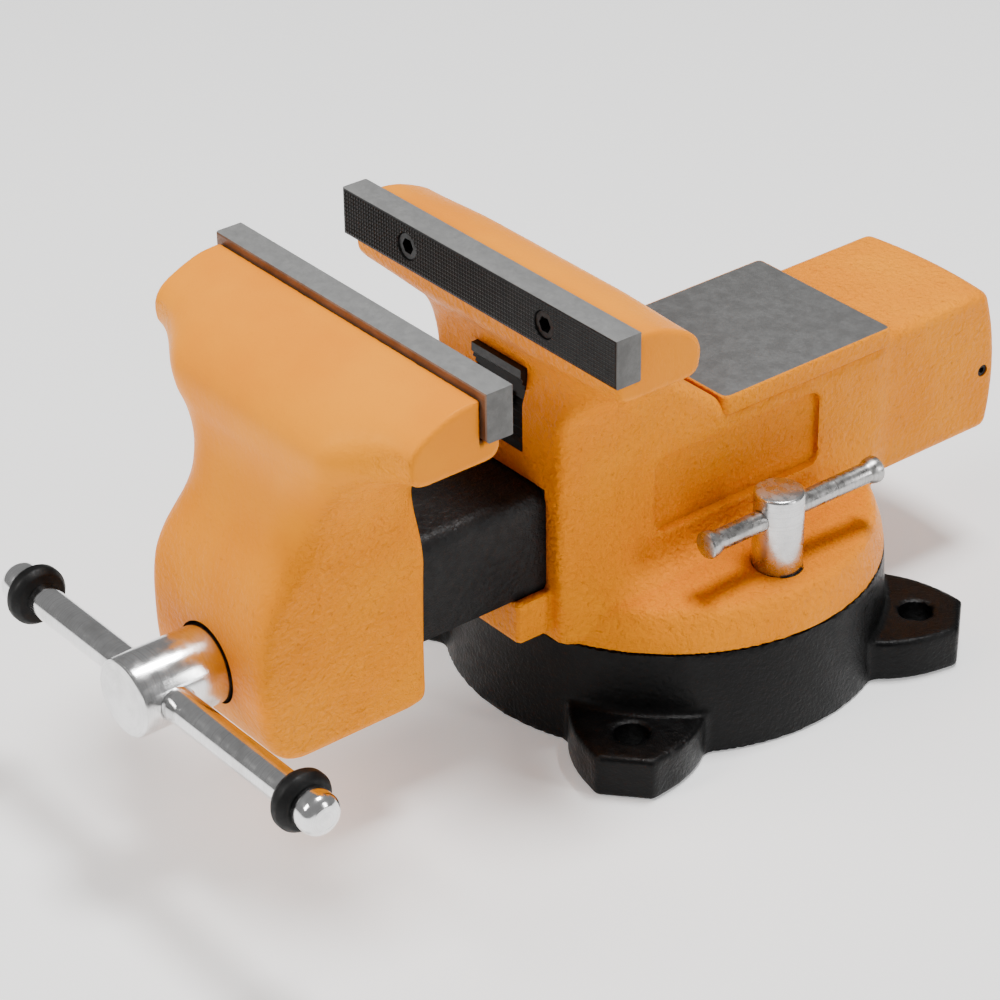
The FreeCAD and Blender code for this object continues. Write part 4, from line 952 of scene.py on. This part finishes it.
def threaded_rod(name, start, length, radius, depth, lead, turns=48, rows_per_lead=8):
    """A right-hand trapezoidal thread along +Y."""
    rows = int(round(length / lead * rows_per_lead))
    distance = np.linspace(0, length, rows + 1)[:, None]
    angle = (2 * math.pi / turns) * np.arange(turns)[None, :]
    phase = (distance / lead + angle / (2 * math.pi)) % 1.0
    groove = np.clip(np.abs(2 * phase - 1) * 2.2 - 0.6, 0, 1)
    ends = np.minimum(distance, length - distance)
    size = radius - depth * groove - np.clip(2.0 - ends, 0, 2)
    x = size * np.cos(angle)
    z = size * np.sin(angle)
    y = distance + 0 * angle
    places = np.stack([x, y, z], axis=2).reshape(-1, 3) + np.array(start)
    number = np.arange((rows + 1) * turns).reshape(rows + 1, turns)
    after = np.roll(number, -1, axis=1)
    quads = np.stack([number[:-1], number[1:], after[1:], after[:-1]], axis=2).reshape(-1, 4)
    faces = quads.tolist() + [number[0].tolist(), number[-1][::-1].tolist()]
    mesh = bpy.data.meshes.new(name)
    mesh.from_pydata((places * MM).tolist(), [], faces)
    mesh.update()
    return add_object(name, mesh)


THREAD_RADIUS = 13
THREAD_DEPTH = 2.4
THREAD_LEAD = 5.0
thread_start = screw_low[1] + 96
thread = threaded_rod("lead_thread", (0, thread_start, SCREW_AXIS),
                      screw_high[1] - thread_start, THREAD_RADIUS, THREAD_DEPTH, THREAD_LEAD)
finish_piece(thread, "main_screw", "screw", [zinc], 40)


# ------------------------------------------------------------------------------ handle

def handle_piece(name, node, profile, start, direction, material, angle=34):
    piece = lathe(name, profile, start, direction, 112)
    return finish_piece(piece, node, "handle", [material], angle)


bar_length = bar_high[0] - bar_low[0]
bar_profile = [(0, 0), (5.2, 0), (5.2, 7), (8.2, 7), (8.2, bar_length - 7),
               (5.2, bar_length - 7), (5.2, bar_length), (0, bar_length)]
handle_piece("sliding_bar", "handle_bar", bar_profile, (bar_low[0], BAR_AXIS_Y, SCREW_AXIS),
             (1, 0, 0), bar_chrome)
cap_box = node_box("handle_cap_right")
cap_long = cap_box[1][0] - cap_box[0][0]
cap_wide = (cap_box[1][1] - cap_box[0][1]) / 2
dome = curve_through([(1, 0.5), (0.985, 0.62), (0.92, 0.75), (0.80, 0.865), (0.64, 0.94),
                      (0.55, 0.965)], 4)
cap_profile = [(0, 0.02), (cap_wide - 1, 0.02), (cap_wide - 0.25, 0.3), (cap_wide, 1)]
cap_profile += [(cap_wide * radius, cap_long * along) for radius, along in dome]
cap_profile += [(5.0, cap_long * 0.965 + 0.15), (4.7, cap_long * 0.965 + 0.02),
                (3.1, cap_long * 0.965 + 0.02), (2.8, cap_long * 0.965 + 0.2),
                (0, cap_long * 0.965 + 0.3)]
ring_outline = curve_through([(11.6, 0.02), (12.5, 0.3), (13.6, 1.5), (14.5, 2.8)], 3)
ring_outline += curve_through([(14.9, 3.6), (15, 4.5), (15, 6.5), (14.9, 7.4)], 3)
ring_outline += curve_through([(14.5, 8.2), (13.6, 9.5), (12.5, 10.7), (11.6, 10.98)], 3)
ring_outline = [(8.24, 0.02)] + ring_outline + [(8.24, 10.98)]
for label, side in (("left", -1), ("right", 1)):
    cap_low, cap_high = node_box("handle_cap_" + label)
    inner_x = cap_low[0] if side > 0 else cap_high[0]
    handle_piece("domed_cap_" + label, "handle_cap_" + label, cap_profile,
                 (inner_x, BAR_AXIS_Y, SCREW_AXIS), (side, 0, 0), bar_chrome)
    ring_low = node_box("bumper_ring_" + label)[0]
    handle_piece("rubber_ring_" + label, "bumper_ring_" + label, ring_profile(ring_outline),
                 (ring_low[0], BAR_AXIS_Y, SCREW_AXIS), (1, 0, 0), rubber, 50)


# --------------------------------------------------------------------------- the locks

post_tall = post_high[2] - post_low[2]
post_profile = [(0, 0), (12.1, 0), (12.55, 0.2), (12.7, 0.65), (12.7, post_tall - 1.5),
                (12.45, post_tall - 0.75), (11.9, post_tall - 0.2), (11.2, post_tall),
                (0, post_tall)]
lock_length = lock_bar_high[1] - lock_bar_low[1]
end_curve = [(0, 0), (5.6, 0), (6.5, 0.3), (7.0, 1.1), (6.95, 3.0), (6.6, 5.0), (6.0, 6.6),
             (5.5, 7.8), (5.35, 8.4)]
far_curve = [(radius, lock_length - distance) for radius, distance in reversed(end_curve)]
mark = lock_length - 32
lock_profile = end_curve + [(5.35, mark), (5.05, mark + 0.4), (5.05, mark + 1.3),
                            (5.35, mark + 1.7)] + far_curve
for label, side in (("right", 1), ("left", -1)):
    post_finish = post_chrome_right if side > 0 else post_chrome_left
    bar_finish = bar_zinc_right if side > 0 else bar_zinc_left
    middle_x = POST_X * side
    post = lathe("clamp_post_" + label, post_profile, (middle_x, 0, post_low[2]), (0, 0, 1))
    cross = [(0, 0), (6.6, 0), (6.6, 3.2), (5.48, 4.6), (5.48, 29.4), (6.6, 30.8), (6.6, 34),
             (0, 34)]
    cut_away(post, [
        lathe("cross_tool", cross, (middle_x, -17, LOCK_BAR_Z), (0, 1, 0), 48),
        rod("stud_tool", (middle_x, 0, post_low[2] - 1), (0, 0, 1), 6.08, 21, 48)])
    finish_piece(post, "lock_post_" + label, "lock_post_" + label,
                 [post_finish], 30)
    lock = lathe("clamp_bar_" + label, lock_profile, (middle_x, lock_bar_low[1], LOCK_BAR_Z),
                 (0, 1, 0), 64)
    finish_piece(lock, "lock_bar_" + label, "lock_bar_" + label,
                 [bar_finish], 30)


# ------------------------------------------------------------- pieces kept as designed

KEPT = {
    "static_jaw_screws": black_steel, "moving_jaw_screws": black_steel,
    "static_pipe_jaw": black_steel, "moving_pipe_jaw": black_steel,
    "static_pipe_screw": black_steel, "moving_pipe_screw": black_steel,
    "tail_set_screws": black_steel, "nut_bolts": black_steel, "main_nut": nut_iron,
    "thrust_washer": zinc, "retaining_collar": zinc, "collar_pin": zinc,
    "pivot_bolt": zinc, "pivot_washer": zinc, "lock_stud_right": zinc,
    "lock_stud_left": zinc, "lock_washers": black_steel,
}
for node, material in KEPT.items():
    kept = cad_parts[node]
    if not kept.material_slots:
        kept.data.materials.append(material)
    for slot in kept.material_slots:
        slot.material = material


# ------------------------------------------------------------ floor, lights and camera

floor_mesh = bpy.data.meshes.new("pale_floor")
reach = 8.0
floor_mesh.from_pydata([(-reach, -reach, -0.0004), (reach, -reach, -0.0004),
                        (reach, reach, -0.0004), (-reach, reach, -0.0004)],
                       [], [(0, 1, 2, 3)])
floor = add_object("pale_floor", floor_mesh)
floor_look = Graph("pale_floor_finish")
floor_tone = floor_look.mix(floor_look.noise(3, 2), (0.90, 0.90, 0.90), (0.93, 0.93, 0.925))
floor.data.materials.append(floor_look.finish(
    floor_tone, 0.75, floor_look.bump(floor_look.noise(300, 2), 0.05, 0.1)))
floor_look.shader.inputs["Emission Color"].default_value = (1, 1, 1, 1)
floor_look.shader.inputs["Emission Strength"].default_value = 0.3

world = bpy.data.worlds.new("studio")
bpy.context.scene.world = world
world.use_nodes = True
world.node_tree.nodes["Background"].inputs[0].default_value = (1.0, 1.0, 1.0, 1)
world.node_tree.nodes["Background"].inputs[1].default_value = 0.26

TARGET = Vector((0.0, -0.05, 0.12))


def soft_light(name, place, size, power, colour=(1, 1, 1)):
    data = bpy.data.lights.new(name, "AREA")
    data.shape = "RECTANGLE"
    data.size = size[0]
    data.size_y = size[1]
    data.energy = power
    data.color = colour
    light = bpy.data.objects.new(name, data)
    light.location = place
    light.rotation_euler = (Vector(place) - TARGET).to_track_quat("Z", "Y").to_euler()
    bpy.context.scene.collection.objects.link(light)


soft_light("key_light", (-0.55, -1.9, 1.5), (0.9, 0.9), 42, (1.0, 0.985, 0.96))
soft_light("side_light", (2.2, 0.9, 1.1), (0.4, 1.2), 22)
soft_light("top_light", (0.1, 0.35, 2.4), (0.6, 0.6), 72)

camera_data = bpy.data.cameras.new("photo_camera")
camera_data.sensor_width = 36
camera_data.lens = 120.8
camera_data.shift_x = -0.0684
camera_data.shift_y = -0.0036
camera_data.clip_end = 50
camera = bpy.data.objects.new("photo_camera", camera_data)
camera.location = (1.0860, -0.9718, 0.9624)
camera.rotation_euler = Vector((0.6563, -0.5480, 0.5186)).to_track_quat("Z", "Y").to_euler()
bpy.context.scene.collection.objects.link(camera)
bpy.context.scene.camera = camera
